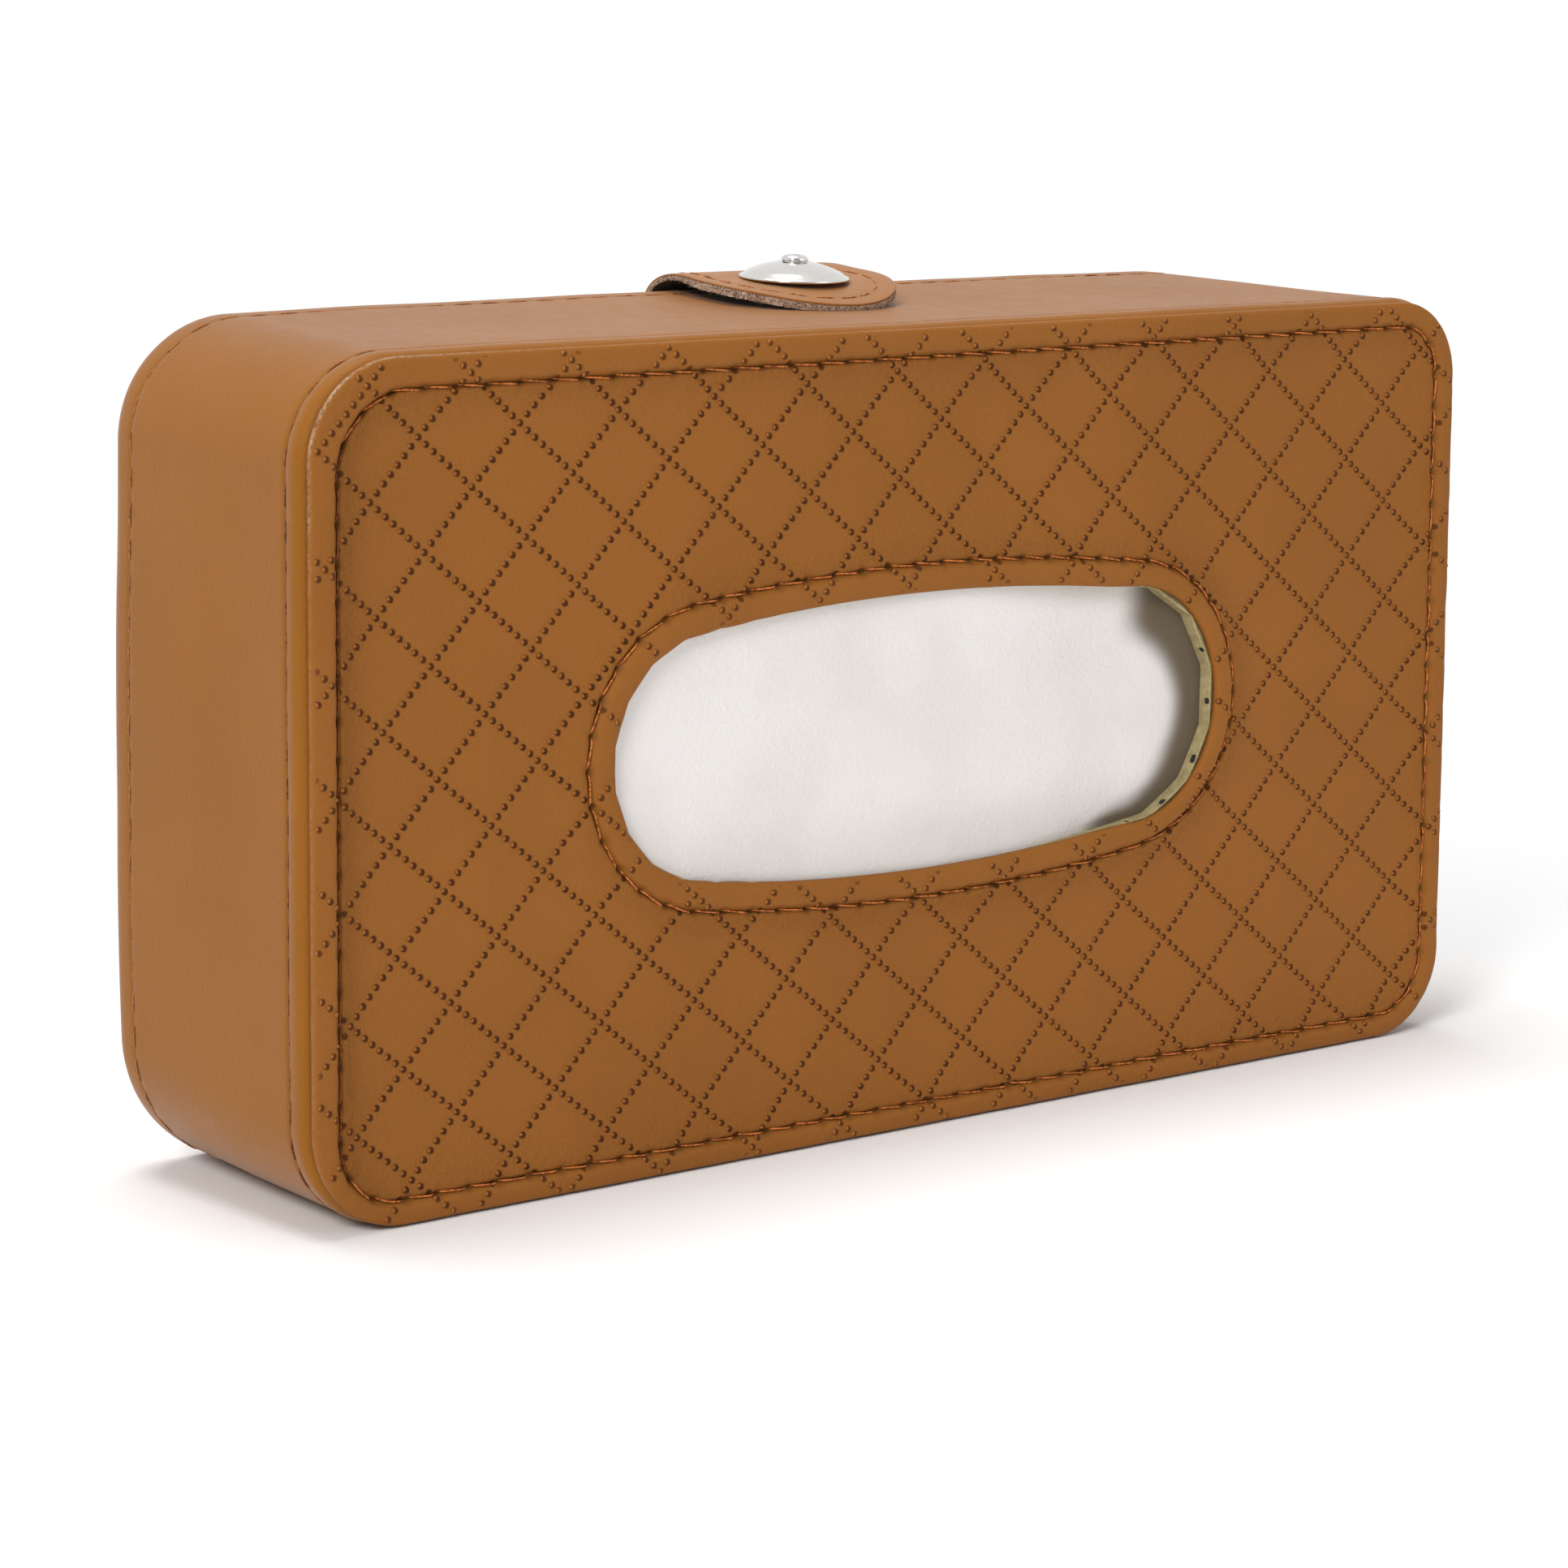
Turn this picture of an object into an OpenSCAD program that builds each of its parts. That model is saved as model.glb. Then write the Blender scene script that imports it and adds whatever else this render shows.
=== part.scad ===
// Tissue box cover of stitched leather over board, standing on its long narrow side.
// The slotted, quilted face looks along -Y. The back flap is hinged along its lower
// edge and is held shut by a strap with a snap fastener on the top of the band.
// The pieces are drawn lying on their back: X runs along the cover, Y is its height,
// Z points out of the slotted face. stand() then sets them up on the long side.

/* [Cover] */
// Length of the cover
cover_w = 229; // [190:1:270]
// Height of the cover as it stands
cover_h = 127; // [110:1:150]
// Depth from the slotted face to the back flap
cover_d = 55; // [46:1:90]
// Radius of the four rounded corners
corner_r = 17; // [14.5:0.5:24]

/* [Leather] */
// Thickness of the leather round the band
band_leather_t = 1.2; // [0.9:0.1:1.4]
// Thickness of the quilted front sheet
sheet_t = 1.0; // [0.8:0.1:1.2]
// Thickness of the leather on the back flap
flap_leather_t = 1.0; // [0.8:0.1:1.2]
// Radius of the rolled leather shoulder along the band's edges
shoulder_r = 2.0; // [1.6:0.1:2.4]
// Width of the seam flange that is turned in under the front sheet
flange_w = 4.4; // [4:0.1:4.4]
// How far the quilted sheet stays inside the outline
sheet_inset = 0.3; // [0:0.1:0.6]
// Rounding of the front sheet's cut edge
cut_edge_r = 0.4; // [0.2:0.1:0.5]

/* [Boards and linings] */
// Thickness of the front board
front_board_t = 2.5; // [1.8:0.1:3]
// Thickness of the board round the band
band_board_t = 2.0; // [1.6:0.1:2.6]
// Thickness of the flap's board
flap_board_t = 2.0; // [1.6:0.1:2.6]
// Thickness of the cloth linings
lining_t = 0.4; // [0.3:0.1:0.6]
// How far the front board stays inside the outline
front_board_inset = 2.0; // [2:0.1:2.6]
// How far the board and lining stay back from the slot's leather edge
slot_board_inset = 0.5; // [0.3:0.1:0.8]

/* [Front seams] */
// Width of the raised margin between the sheet's edge and its seam
margin_w = 4.8; // [4.6:0.1:6]
// Depth of the seam groove below the margin
seam_depth = 0.7; // [0.5:0.05:0.75]
// How far the quilted field lies below the margin
field_drop = 0.4; // [0.25:0.05:0.45]
// Width over which the padding rises from the seam to the field
ramp_w = 7; // [4:0.5:8]
// Radius of the sewing thread
thread_r = 0.32; // [0.2:0.02:0.36]
// Gap between a thread and the leather beside it
thread_gap = 0.08; // [0.05:0.01:0.1]

/* [Slot] */
// Length of the slot
slot_w = 121; // [100:1:140]
// Width of the slot
slot_h = 43.2; // [39:0.2:50]
// Radius of the slot's round ends
slot_end_r = 19; // [14:0.5:19]
// Width of the raised rim between the slot and its seam
rim_w = 4.8; // [4.4:0.1:6]

/* [Quilting] */
// Width of one diamond along the cover
diamond_w = 17.6; // [14:0.2:24]
// Height of one diamond
diamond_h = 16.4; // [14:0.2:24]
// Angle by which the diamond rows are turned on the sheet
quilt_turn = 3.4; // [0:0.1:6]
// Width of a quilting groove
quilt_groove_w = 0.9; // [0.6:0.1:1.4]
// Depth of a quilting groove
quilt_groove_d = 0.3; // [0.15:0.05:0.4]
// Place along the cover of a crossing near the top left corner, from the middle
quilt_x = -95.3; // [-100:0.1:-88]
// Distance of that crossing below the top
quilt_below_top = 13.6; // [8:0.1:20]

/* [Band seams] */
// Distance of the band's front stitch row from the slotted face
front_row_in = 5.3; // [5:0.1:8]
// Distance of the band's back stitch row from the band's back edge
back_row_in = 4.0; // [3:0.1:6]
// Width of the hem that is turned in at the band's back edge
hem_w = 9; // [7:0.5:12]
// Thickness of the turned-in hems
hem_t = 0.8; // [0.6:0.1:1]

/* [Back flap] */
// How far the flap stays inside the band's outline
flap_inset = 0.6; // [0.4:0.1:1]
// Gap between the closed flap and the band
flap_gap = 0.3; // [0.3:0.05:0.6]
// Width of the hem that is turned in round the flap
flap_hem_w = 9; // [7:0.5:12]
// Distance of the flap's stitch row from its edge
flap_row_in = 4.2; // [3.4:0.1:6]

/* [Hinge strip] */
// Distance of the hinge strip's ends from the rounded corners
hinge_end_in = 5.5; // [2:0.5:15]
// How far the strip reaches in under the band
hinge_reach = 11; // [8:0.5:14]
// Gap round the edges of the strip
hinge_gap = 0.3; // [0.3:0.05:0.5]
// Distance of the strip's stitch row from its front edge
hinge_row_in = 3; // [2:0.1:4]

/* [Closing strap] */
// Thickness of one of the strap's two plies
ply_t = 0.65; // [0.5:0.05:0.8]
// Width of the strap where it leaves the flap
strap_root_w = 28; // [22:0.5:30]
// Radius of the strap's round end, about the snap
strap_end_r = 16; // [15:0.5:18]
// Distance of the snap from the back of the cover
snap_from_back = 19.8; // [19.4:0.1:22]
// Height of the strap's middle layer over the band, at the snap
snap_rise = 3.0; // [3:0.05:3.3]
// Slope of the strap at the snap, down towards the front
strap_slope = 3; // [1:0.5:4]
// Length of the straight run behind the snap
run_back = 9.2; // [9:0.1:10]
// Length of the straight run in front of the snap
run_front = 9; // [8.8:0.1:10]
// Radius of the strap's droop at its end
droop_r = 28; // [24:1:60]
// Distance of the strap's stitch row from its edge
strap_row_in = 3; // [2.5:0.1:4]
// Width of a stitch row that lies on the strap
strap_row_w = 0.6; // [0.4:0.05:0.8]
// Height of a stitch row that lies on the strap
strap_row_t = 0.2; // [0.1:0.05:0.3]
// Length of the strap's end that is sewn into the flap
sewn_end_len = 9; // [6:0.5:12]
// Gap round the strap where it leaves the flap
strap_gap = 0.3; // [0.3:0.05:0.4]

/* [Snap fastener] */
// Diameter of the domed cap
cap_dia = 17.6; // [15:0.1:17.8]
// Height of the cap's dome
cap_rise = 2.4; // [1.8:0.1:3]
// Thickness of the cap's sheet metal at the edge
cap_edge_t = 0.6; // [0.4:0.05:0.8]
// Diameter of the rivet head in the middle of the cap
nub_dia = 4.2; // [3.4:0.1:5]
// Height of the rivet head over the dome
nub_rise = 0.9; // [0.6:0.1:1.2]
// Diameter of the rivet shanks
shank_dia = 2.6; // [2:0.1:3]
// Clearance round the rivet shanks
shank_gap = 0.1; // [0.05:0.01:0.15]
// Diameter of the socket under the strap
socket_dia = 10; // [9.6:0.1:10.6]
// Height of the socket
socket_t = 1.35; // [1.25:0.05:1.4]
// Thickness of the socket's top plate
socket_plate_t = 0.35; // [0.3:0.05:0.4]
// Radius of the socket's bore
socket_bore_r = 3.4; // [3.2:0.1:3.6]
// Radius of the ring spring's wire
spring_wire_r = 0.28; // [0.2:0.02:0.3]
// Radius of the stud's head
stud_head_r = 2.1; // [1.9:0.1:2.2]
// Radius of the stud's neck
stud_neck_r = 1.75; // [1.7:0.05:1.8]
// Radius of the stud's base
stud_base_r = 4.6; // [4.2:0.1:5]
// Thickness of the stud's base
stud_base_t = 0.35; // [0.3:0.05:0.4]
// Height of the stud's head over the band
stud_rise = 1.2; // [1.1:0.05:1.3]
// Radius of the rivet flange inside the band
flange_r = 4.6; // [4:0.1:5.4]
// Thickness of that flange
flange_t = 0.5; // [0.4:0.05:0.6]

/* [Tissue stack] */
// Gap between the stack and the hem at each end
stack_end_gap = 11; // [11:0.5:15]
// Gap between the stack and the hem above it
stack_head_gap = 10.8; // [10:0.2:16]
// Gap between the stack's crown and the front lining
stack_front_gap = 5; // [4.5:0.1:10]
// Gap between the stack and the back flap's lining
stack_back_gap = 2; // [1:0.1:8]
// Gap under the stack
stack_seat_gap = 0.2; // [0.2:0.05:0.3]
// Radius of the stack's rounded front edges
stack_edge_r = 9; // [4:0.5:12]
// Radius of the crown on the stack's front
stack_crown_r = 1400; // [1000:50:3000]

/* [Hidden] */
$fn = 96;

// One overrun for all cuts
over = 0.5;

// Levels above the middle plane of the cover's depth, positive towards the front
margin_top = cover_d / 2;
margin_under = margin_top - sheet_t;
seam_top = margin_top - seam_depth;
seam_under = seam_top - sheet_t;
field_top = margin_top - field_drop;
field_under = field_top - sheet_t;
front_board_top = margin_under - band_leather_t;
front_board_under = front_board_top - front_board_t;
front_lining_under = front_board_under - lining_t;
flap_t = flap_leather_t + flap_board_t + flap_leather_t;
flap_outer = -cover_d / 2;
flap_inner = flap_outer + flap_t;
band_back = flap_inner + flap_gap;
shoulder_mid = margin_under - shoulder_r;
back_shoulder_mid = band_back + shoulder_r;
hem_front = band_back + hem_w;

// Distances in from the outline
board_in = band_leather_t;
band_lining_in = board_in + band_board_t;
bay_in = band_lining_in + lining_t;
hem_in = band_lining_in + hem_t;

// Seam shoulders: where the margin starts to fall and where the ramp starts
seam_half = 0.3;
fall_w = 0.6;

// Distances out of the slot: the rim's edge, the end of its seam groove and the
// middle between them
rim_edge = rim_w - seam_half - fall_w / 2;
rim_seam_end = rim_w + seam_half;
slot_row_mid = (rim_edge + rim_seam_end) / 2;

// The slot is an oval of four arcs: two end arcs and two long, nearly flat ones
slot_half_w = slot_w / 2;
slot_half_h = slot_h / 2;
slot_end_x = slot_half_w - slot_end_r;
slot_side_r = (pow(slot_end_x, 2) + pow(slot_half_h, 2) - pow(slot_end_r, 2))
    / (2 * (slot_half_h - slot_end_r));
slot_side_y = slot_side_r - slot_half_h;
slot_join = atan2(slot_end_x, slot_side_y);
slot_end_steps = 24;
slot_side_steps = 12;

// The strap's middle line, seen from the side: f points to the front, z is up
strap_t = 2 * ply_t;
snap_f = flap_outer + snap_from_back;
snap_z = cover_h + snap_rise;
strap_axis_f = flap_outer + flap_leather_t + ply_t;
strap_axis_z = cover_h - flap_inset + strap_gap / 2;
strap_up = [sin(strap_slope), cos(strap_slope)];
strap_ahead = [cos(strap_slope), -sin(strap_slope)];
run_start = [snap_f, snap_z] - run_back * strap_ahead;
run_end = [snap_f, snap_z] + run_front * strap_ahead;
root_step = [strap_axis_f, strap_axis_z] - run_start;
arch_r = -(root_step * root_step) / (2 * (strap_up * root_step));
arch_mid = run_start - arch_r * strap_up;
arch_turn = atan2(strap_axis_z - arch_mid[1], strap_axis_f - arch_mid[0]);
droop_mid = run_end - droop_r * strap_up;
strap_tip_f = snap_f + strap_end_r;
droop_turn = acos((strap_tip_f + strap_t - droop_mid[0]) / droop_r);
arch_steps = 16;
droop_steps = 8;
strap_end_steps = 40;

// The snap's levels on the strap and on the band
socket_under = -ply_t - socket_t;
cap_seat = ply_t;
dome_r = (pow(cap_dia / 2, 2) + pow(cap_rise, 2)) / (2 * cap_rise);
shank_r = shank_dia / 2;
rivet_hole_r = shank_r + shank_gap;
spring_mid_r = socket_bore_r - spring_wire_r - thread_gap;
spring_level = socket_under + spring_wire_r + thread_gap;
shank_head_t = 0.2;
shank_head_r = 1.7;

// The strip that hinges the flap
hinge_w = cover_w - 2 * (corner_r + hinge_end_in);

// The tissue stack
stack_w = cover_w - 2 * (hem_in + stack_end_gap);
stack_h = cover_h - 2 * hem_in - stack_seat_gap - stack_head_gap;
stack_front = front_lining_under - stack_front_gap;
stack_back = flap_inner + stack_back_gap;
stack_seat = hem_in + stack_seat_gap;

leather = [0.60, 0.38, 0.19];
thread_orange = [0.72, 0.36, 0.12];
board_beige = [0.62, 0.55, 0.40];
cloth_grey = [0.20, 0.19, 0.18];
steel = [0.82, 0.82, 0.84];

// Sets a lying piece up on the long side
module stand() {
    rotate([90, 0, 0]) children();
}

// A rounded rectangle of the cover's outline, drawn in by a distance
module outline(inset) {
    r = corner_r - inset;
    w = cover_w - 2 * inset;
    h = cover_h - 2 * inset;
    translate([0, cover_h / 2]) {
        square([w, h - 2 * r], center = true);
        square([w - 2 * r, h], center = true);
        for (x = [-1, 1], y = [-1, 1])
            translate([x * (w / 2 - r), y * (h / 2 - r)]) circle(r);
    }
}

// A flat sheet of the outline between two levels
module plate(inset, low, high) {
    translate([0, 0, low])
        linear_extrude(height = high - low) outline(inset);
}

// Runs a profile round the outline. In the profile, x is the distance out of the
// outline, so that everything inside has a negative x, and y is the level.
module round_outline() {
    half_w = cover_w / 2 - corner_r;
    half_h = cover_h / 2 - corner_r;
    corner_places = [[1, 1], [-1, 1], [-1, -1], [1, -1]];
    translate([0, cover_h / 2, 0]) {
        for (i = [0:3])
            translate([corner_places[i][0] * half_w, corner_places[i][1] * half_h, 0])
                rotate([0, 0, 90 * i])
                    rotate_extrude(angle = 90)
                        translate([corner_r, 0]) children();
        for (i = [0:3])
            rotate([0, 0, 90 * i])
                translate([i % 2 == 0 ? cover_w / 2 : cover_h / 2, 0, 0])
                    rotate([90, 0, 0])
                        linear_extrude(height = i % 2 == 0 ? 2 * half_h : 2 * half_w,
                                       center = true) children();
    }
}

// Points along an arc, both ends included
function arc_points(mid, r, from, to, steps) = [
    for (i = [0:steps])
        let (turn = from + (to - from) * i / steps)
        mid + r * [cos(turn), sin(turn)]
];

// Half of the slot's oval, grown outward by a distance: one end and one long side
function half_oval(grow) = concat(
    arc_points([slot_end_x, 0], slot_end_r + grow,
               slot_join - 90, 90 - slot_join, slot_end_steps),
    arc_points([0, -slot_side_y], slot_side_r + grow,
               90 - slot_join, 90 + slot_join, slot_side_steps)
);

// The whole oval, whose second half is the first one turned round
module slot_oval(grow) {
    half = half_oval(grow);
    translate([0, cover_h / 2])
        polygon(concat(
            [for (i = [0:len(half) - 2]) half[i]],
            [for (i = [0:len(half) - 2]) -half[i]]
        ));
}

// The oval as a hole through everything between two levels
module slot_hole(grow, low, high) {
    translate([0, 0, low])
        linear_extrude(height = high - low) slot_oval(grow);
}

// A flat ring round the slot, between two distances out and two levels
module slot_ring(near, far, low, high) {
    translate([0, 0, low])
        linear_extrude(height = high - low)
            difference() {
                slot_oval(far);
                slot_oval(near);
            }
}

// A rectangle of a profile, from two distances in and two levels
module strip(near_in, far_in, low, high) {
    translate([-far_in, low]) square([far_in - near_in, high - low]);
}

// A quarter of a rolled leather edge: its middle, outer radius and thickness, and
// the two directions that it lies in
module rolled_edge(mid_in, mid_level, r, t, out, up) {
    translate([-mid_in, mid_level])
        intersection() {
            difference() {
                circle(r);
                circle(r - t);
            }
            translate([min(0, out * r), min(0, up * r)]) square(r);
        }
}

// Profile of the front sheet's margin: its cut edge, the strip, the fall into the
// seam groove and the padded rise to the field
module margin_profile() {
    edge = sheet_inset + cut_edge_r;
    fall_at = margin_w - seam_half - fall_w;
    strip(edge, fall_at, margin_under, margin_top);
    strip(sheet_inset, edge, margin_under, margin_top - cut_edge_r);
    translate([-edge, margin_top - cut_edge_r]) circle(cut_edge_r);
    polygon([
        [-fall_at, margin_top],
        [-margin_w + seam_half, seam_top],
        [-margin_w - seam_half, seam_top],
        [-margin_w - ramp_w, field_top],
        [-margin_w - ramp_w, field_under],
        [-margin_w - seam_half, seam_under],
        [-margin_w + seam_half, seam_under],
        [-margin_w + seam_half, margin_under],
        [-fall_at, margin_under]
    ]);
}

// Straight grooves in two crossing directions, which leave raised diamonds. A row
// that falls to the right starts further left, and the other way round.
module quilt_grooves() {
    slant = atan2(diamond_h, diamond_w);
    lean = cover_h * diamond_w / diamond_h;
    for (way = [-1, 1]) {
        first = ceil((-cover_w / 2 - max(0, -way) * lean - quilt_x) / diamond_w);
        last = floor((cover_w / 2 + max(0, way) * lean - quilt_x) / diamond_w);
        translate([quilt_x, cover_h - quilt_below_top, field_top])
            rotate([0, 0, quilt_turn])
                for (i = [first:last])
                    translate([i * diamond_w, 0, 0])
                        rotate([90, 0, 90 + way * slant])
                            linear_extrude(height = 2 * (cover_w + cover_h), center = true)
                                polygon([
                                    [-quilt_groove_w / 2, 0],
                                    [quilt_groove_w / 2, 0],
                                    [0, -quilt_groove_d]
                                ]);
    }
}

// Profile of a groove for a stitch row, or of the thread in it
module row_profile(distance_out, level, r) {
    translate([distance_out, level]) circle(r, $fn = 24);
}

// The quilted sheet: a raised margin, the padded field with its diamonds, and a
// folded rim round the slot, each parted from the field by a seam groove
module front_leather() {
    color(leather) stand()
        difference() {
            union() {
                round_outline() margin_profile();
                slot_ring(0, rim_edge, front_board_top, margin_top);
                slot_ring(rim_edge, rim_seam_end, seam_under, seam_top);
                difference() {
                    plate(margin_w + ramp_w, field_under, field_top);
                    slot_hole(rim_seam_end, field_under - over, field_top + over);
                    quilt_grooves();
                }
            }
            round_outline() row_profile(-margin_w, seam_top, thread_r + thread_gap);
        }
}

module front_foam() {
    color("lightgrey") stand()
        difference() {
            union() {
                plate(margin_w + ramp_w, front_board_top, field_under);
                round_outline() polygon([
                    [-margin_w - seam_half, front_board_top],
                    [-margin_w - seam_half, seam_under],
                    [-margin_w - ramp_w, field_under],
                    [-margin_w - ramp_w, front_board_top]
                ]);
            }
            slot_hole(rim_seam_end, front_board_top - over, field_under + over);
        }
}

module front_board() {
    color(board_beige) stand()
        difference() {
            plate(front_board_inset, front_board_under, front_board_top);
            slot_hole(slot_board_inset, front_board_under - over, front_board_top + over);
        }
}

module front_lining() {
    color(cloth_grey) stand()
        difference() {
            plate(band_lining_in, front_lining_under, front_board_under);
            slot_hole(slot_board_inset, front_lining_under - over, front_board_under + over);
        }
}

module front_thread() {
    color(thread_orange) stand()
        round_outline() row_profile(-margin_w, seam_top, thread_r);
}

module slot_thread() {
    color(thread_orange) stand()
        slot_ring(slot_row_mid - thread_r, slot_row_mid + thread_r,
                  seam_top, seam_top + thread_r);
}

// Profile of the band's leather: the flange under the front sheet, the rolled
// shoulder, the outer face, the rolled back edge and the hem inside
module band_leather_profile() {
    strip(shoulder_r, flange_w, margin_under - band_leather_t, margin_under);
    rolled_edge(shoulder_r, shoulder_mid, shoulder_r, band_leather_t, 1, 1);
    strip(0, band_leather_t, back_shoulder_mid, shoulder_mid);
    rolled_edge(shoulder_r, back_shoulder_mid, shoulder_r, band_leather_t, 1, -1);
    strip(shoulder_r, hem_in, band_back, band_back + band_leather_t);
    strip(band_lining_in, hem_in, band_back + band_leather_t, hem_front);
}

// The cut in the band's leather that the hinge strip fills, grown by a gap
module hinge_notch(gap) {
    half = hinge_w / 2 + gap;
    translate([-half, -over, flap_outer - over])
        cube([2 * half, band_leather_t + over, band_back + hinge_reach + gap
              - flap_outer + over]);
}

// A hole for the rivet through the top of the band
module band_rivet_hole() {
    translate([0, cover_h - hem_in - over, snap_f])
        rotate([-90, 0, 0])
            cylinder(r = rivet_hole_r, h = hem_in + 2 * over);
}

module band_leather() {
    groove_r = thread_r + thread_gap;
    color(leather) stand()
        difference() {
            round_outline() band_leather_profile();
            round_outline() row_profile(-thread_r, margin_top - front_row_in, groove_r);
            round_outline() row_profile(-thread_r, band_back + back_row_in, groove_r);
            hinge_notch(0);
            band_rivet_hole();
        }
}

// Profile of the band's board, whose back edge is rounded to fit the rolled leather
module band_board_profile() {
    strip(board_in, band_lining_in, back_shoulder_mid, front_board_under);
    strip(shoulder_r, band_lining_in, band_back + band_leather_t, back_shoulder_mid);
    translate([-shoulder_r, back_shoulder_mid]) circle(shoulder_r - band_leather_t);
}

module band_board() {
    color(board_beige) stand()
        difference() {
            round_outline() band_board_profile();
            band_rivet_hole();
        }
}

module band_lining() {
    color(cloth_grey) stand()
        difference() {
            round_outline() strip(band_lining_in, bay_in, hem_front, front_lining_under);
            band_rivet_hole();
        }
}

module band_front_thread() {
    color(thread_orange) stand()
        round_outline() row_profile(-thread_r, margin_top - front_row_in, thread_r);
}

// The back row stops at the hinge strip
module band_back_thread() {
    color(thread_orange) stand()
        difference() {
            round_outline() row_profile(-thread_r, band_back + back_row_in, thread_r);
            hinge_notch(0);
        }
}

module hinge_strip() {
    length = hinge_w - 2 * hinge_gap;
    row_at = band_back + hinge_reach - hinge_gap - hinge_row_in;
    color(leather) stand()
        difference() {
            translate([-length / 2, 0, flap_outer])
                cube([length, band_leather_t, band_back + hinge_reach - hinge_gap - flap_outer]);
            translate([-length / 2 - over, thread_r, row_at])
                rotate([0, 90, 0])
                    cylinder(r = thread_r + thread_gap, h = length + 2 * over, $fn = 24);
        }
}

module hinge_thread() {
    length = hinge_w - 2 * hinge_gap - 2 * hinge_row_in;
    row_at = band_back + hinge_reach - hinge_gap - hinge_row_in;
    color(thread_orange) stand()
        translate([-length / 2, thread_r, row_at])
            rotate([0, 90, 0]) cylinder(r = thread_r, h = length, $fn = 24);
}

// A pack of folded tissues: square at the back, with round front edges and a
// slight crown
module tissue_stack() {
    depth = stack_front - stack_back;
    color("white")
        translate([0, 0, stack_seat])
            linear_extrude(height = stack_h)
                intersection() {
                    union() {
                        translate([-stack_w / 2, -stack_front + stack_edge_r])
                            square([stack_w, depth - stack_edge_r]);
                        translate([-stack_w / 2 + stack_edge_r, -stack_front])
                            square([stack_w - 2 * stack_edge_r, depth]);
                        for (x = [-1, 1])
                            translate([x * (stack_w / 2 - stack_edge_r),
                                       -stack_front + stack_edge_r])
                                circle(stack_edge_r);
                    }
                    translate([0, stack_crown_r - stack_front])
                        circle(stack_crown_r, $fn = 1440);
                }
}

// The stud on the band: a base, a neck and a round head that snaps into the socket
module snap_stud() {
    head_h = stud_rise - stud_base_t;
    color(steel)
        translate([0, -snap_f, cover_h])
            rotate_extrude()
                difference() {
                    union() {
                        square([stud_base_r, stud_base_t]);
                        square([stud_neck_r, stud_rise - head_h / 2]);
                        translate([0, stud_rise - head_h / 2])
                            square([stud_head_r - head_h / 4, head_h / 2]);
                        translate([stud_head_r - head_h / 4, stud_rise - head_h / 4])
                            circle(head_h / 4, $fn = 24);
                    }
                    square([rivet_hole_r, stud_base_t + head_h / 3]);
                }
}

// The rivet that holds the stud, with its flange on the lining inside the band
module stud_rivet() {
    head_h = stud_rise - stud_base_t;
    foot = cover_h - bay_in;
    color(steel)
        translate([0, -snap_f, 0]) {
            translate([0, 0, foot - flange_t]) cylinder(r = flange_r, h = flange_t);
            translate([0, 0, foot])
                cylinder(r = shank_r, h = bay_in + stud_base_t + head_h / 3);
        }
}

// The opening in the flap's leather and the pocket in its board for the strap
module strap_pocket(gap) {
    half = strap_root_w / 2 + gap;
    translate([-half, cover_h - flap_inset - sewn_end_len, strap_axis_f - ply_t - gap])
        cube([2 * half, sewn_end_len + over, strap_t + 2 * gap]);
}

// Profile of the flap's leather: the outer face's edge, two rolled edges, the side
// wall and the hem inside
module flap_leather_profile() {
    near = flap_inset;
    roll_r = flap_t / 2;
    strip(near + roll_r, flap_hem_w, flap_outer, flap_outer + flap_leather_t);
    rolled_edge(near + roll_r, flap_outer + roll_r, roll_r, flap_leather_t, 1, -1);
    rolled_edge(near + roll_r, flap_inner - roll_r, roll_r, flap_leather_t, 1, 1);
    strip(near + roll_r, flap_hem_w, flap_inner - flap_leather_t, flap_inner);
}

// What is cut from the flap's lower edge so that it clears the hinge strip
module flap_foot_cut() {
    half = hinge_w / 2 + hinge_gap;
    translate([-half, -over, flap_outer - over])
        cube([2 * half, band_leather_t + hinge_gap + over, flap_t + 2 * over]);
}

module back_leather() {
    groove_r = thread_r + thread_gap;
    color(leather) stand()
        difference() {
            union() {
                round_outline() flap_leather_profile();
                plate(flap_hem_w, flap_outer, flap_outer + flap_leather_t);
            }
            round_outline()
                row_profile(-flap_inset - flap_row_in, flap_outer + thread_r, groove_r);
            strap_pocket(strap_gap);
            flap_foot_cut();
        }
}

module back_board() {
    edge = flap_inset + flap_t / 2;
    low = flap_outer + flap_leather_t;
    high = flap_inner - flap_leather_t;
    color(board_beige) stand()
        difference() {
            plate(edge, low, high);
            strap_pocket(0);
        }
}

module back_lining() {
    high = flap_inner - flap_leather_t + lining_t;
    color(cloth_grey) stand()
        plate(flap_hem_w, flap_inner - flap_leather_t, high);
}

module back_thread() {
    color(thread_orange) stand()
        round_outline()
            row_profile(-flap_inset - flap_row_in, flap_outer + thread_r, thread_r);
}

// The end of the strap that is sewn in between the flap's leather and its board
module strap_sewn_end() {
    top = strap_axis_z - ply_t - strap_gap;
    foot = cover_h - flap_inset - sewn_end_len;
    color(leather) stand()
        translate([-strap_root_w / 2, foot, strap_axis_f - ply_t])
            cube([strap_root_w, top - foot, strap_t]);
}

// The strap's outline seen from above, drawn in by a distance: straight sides from
// the flap and a round end about the snap
module strap_plan(inset) {
    root = strap_root_w / 2 - inset;
    root_y = -strap_axis_f + strap_t;
    polygon(concat(
        [[-root, root_y], [root, root_y]],
        arc_points([0, -snap_f], strap_end_r - inset, 0, -180, strap_end_steps)
    ));
}

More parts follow.
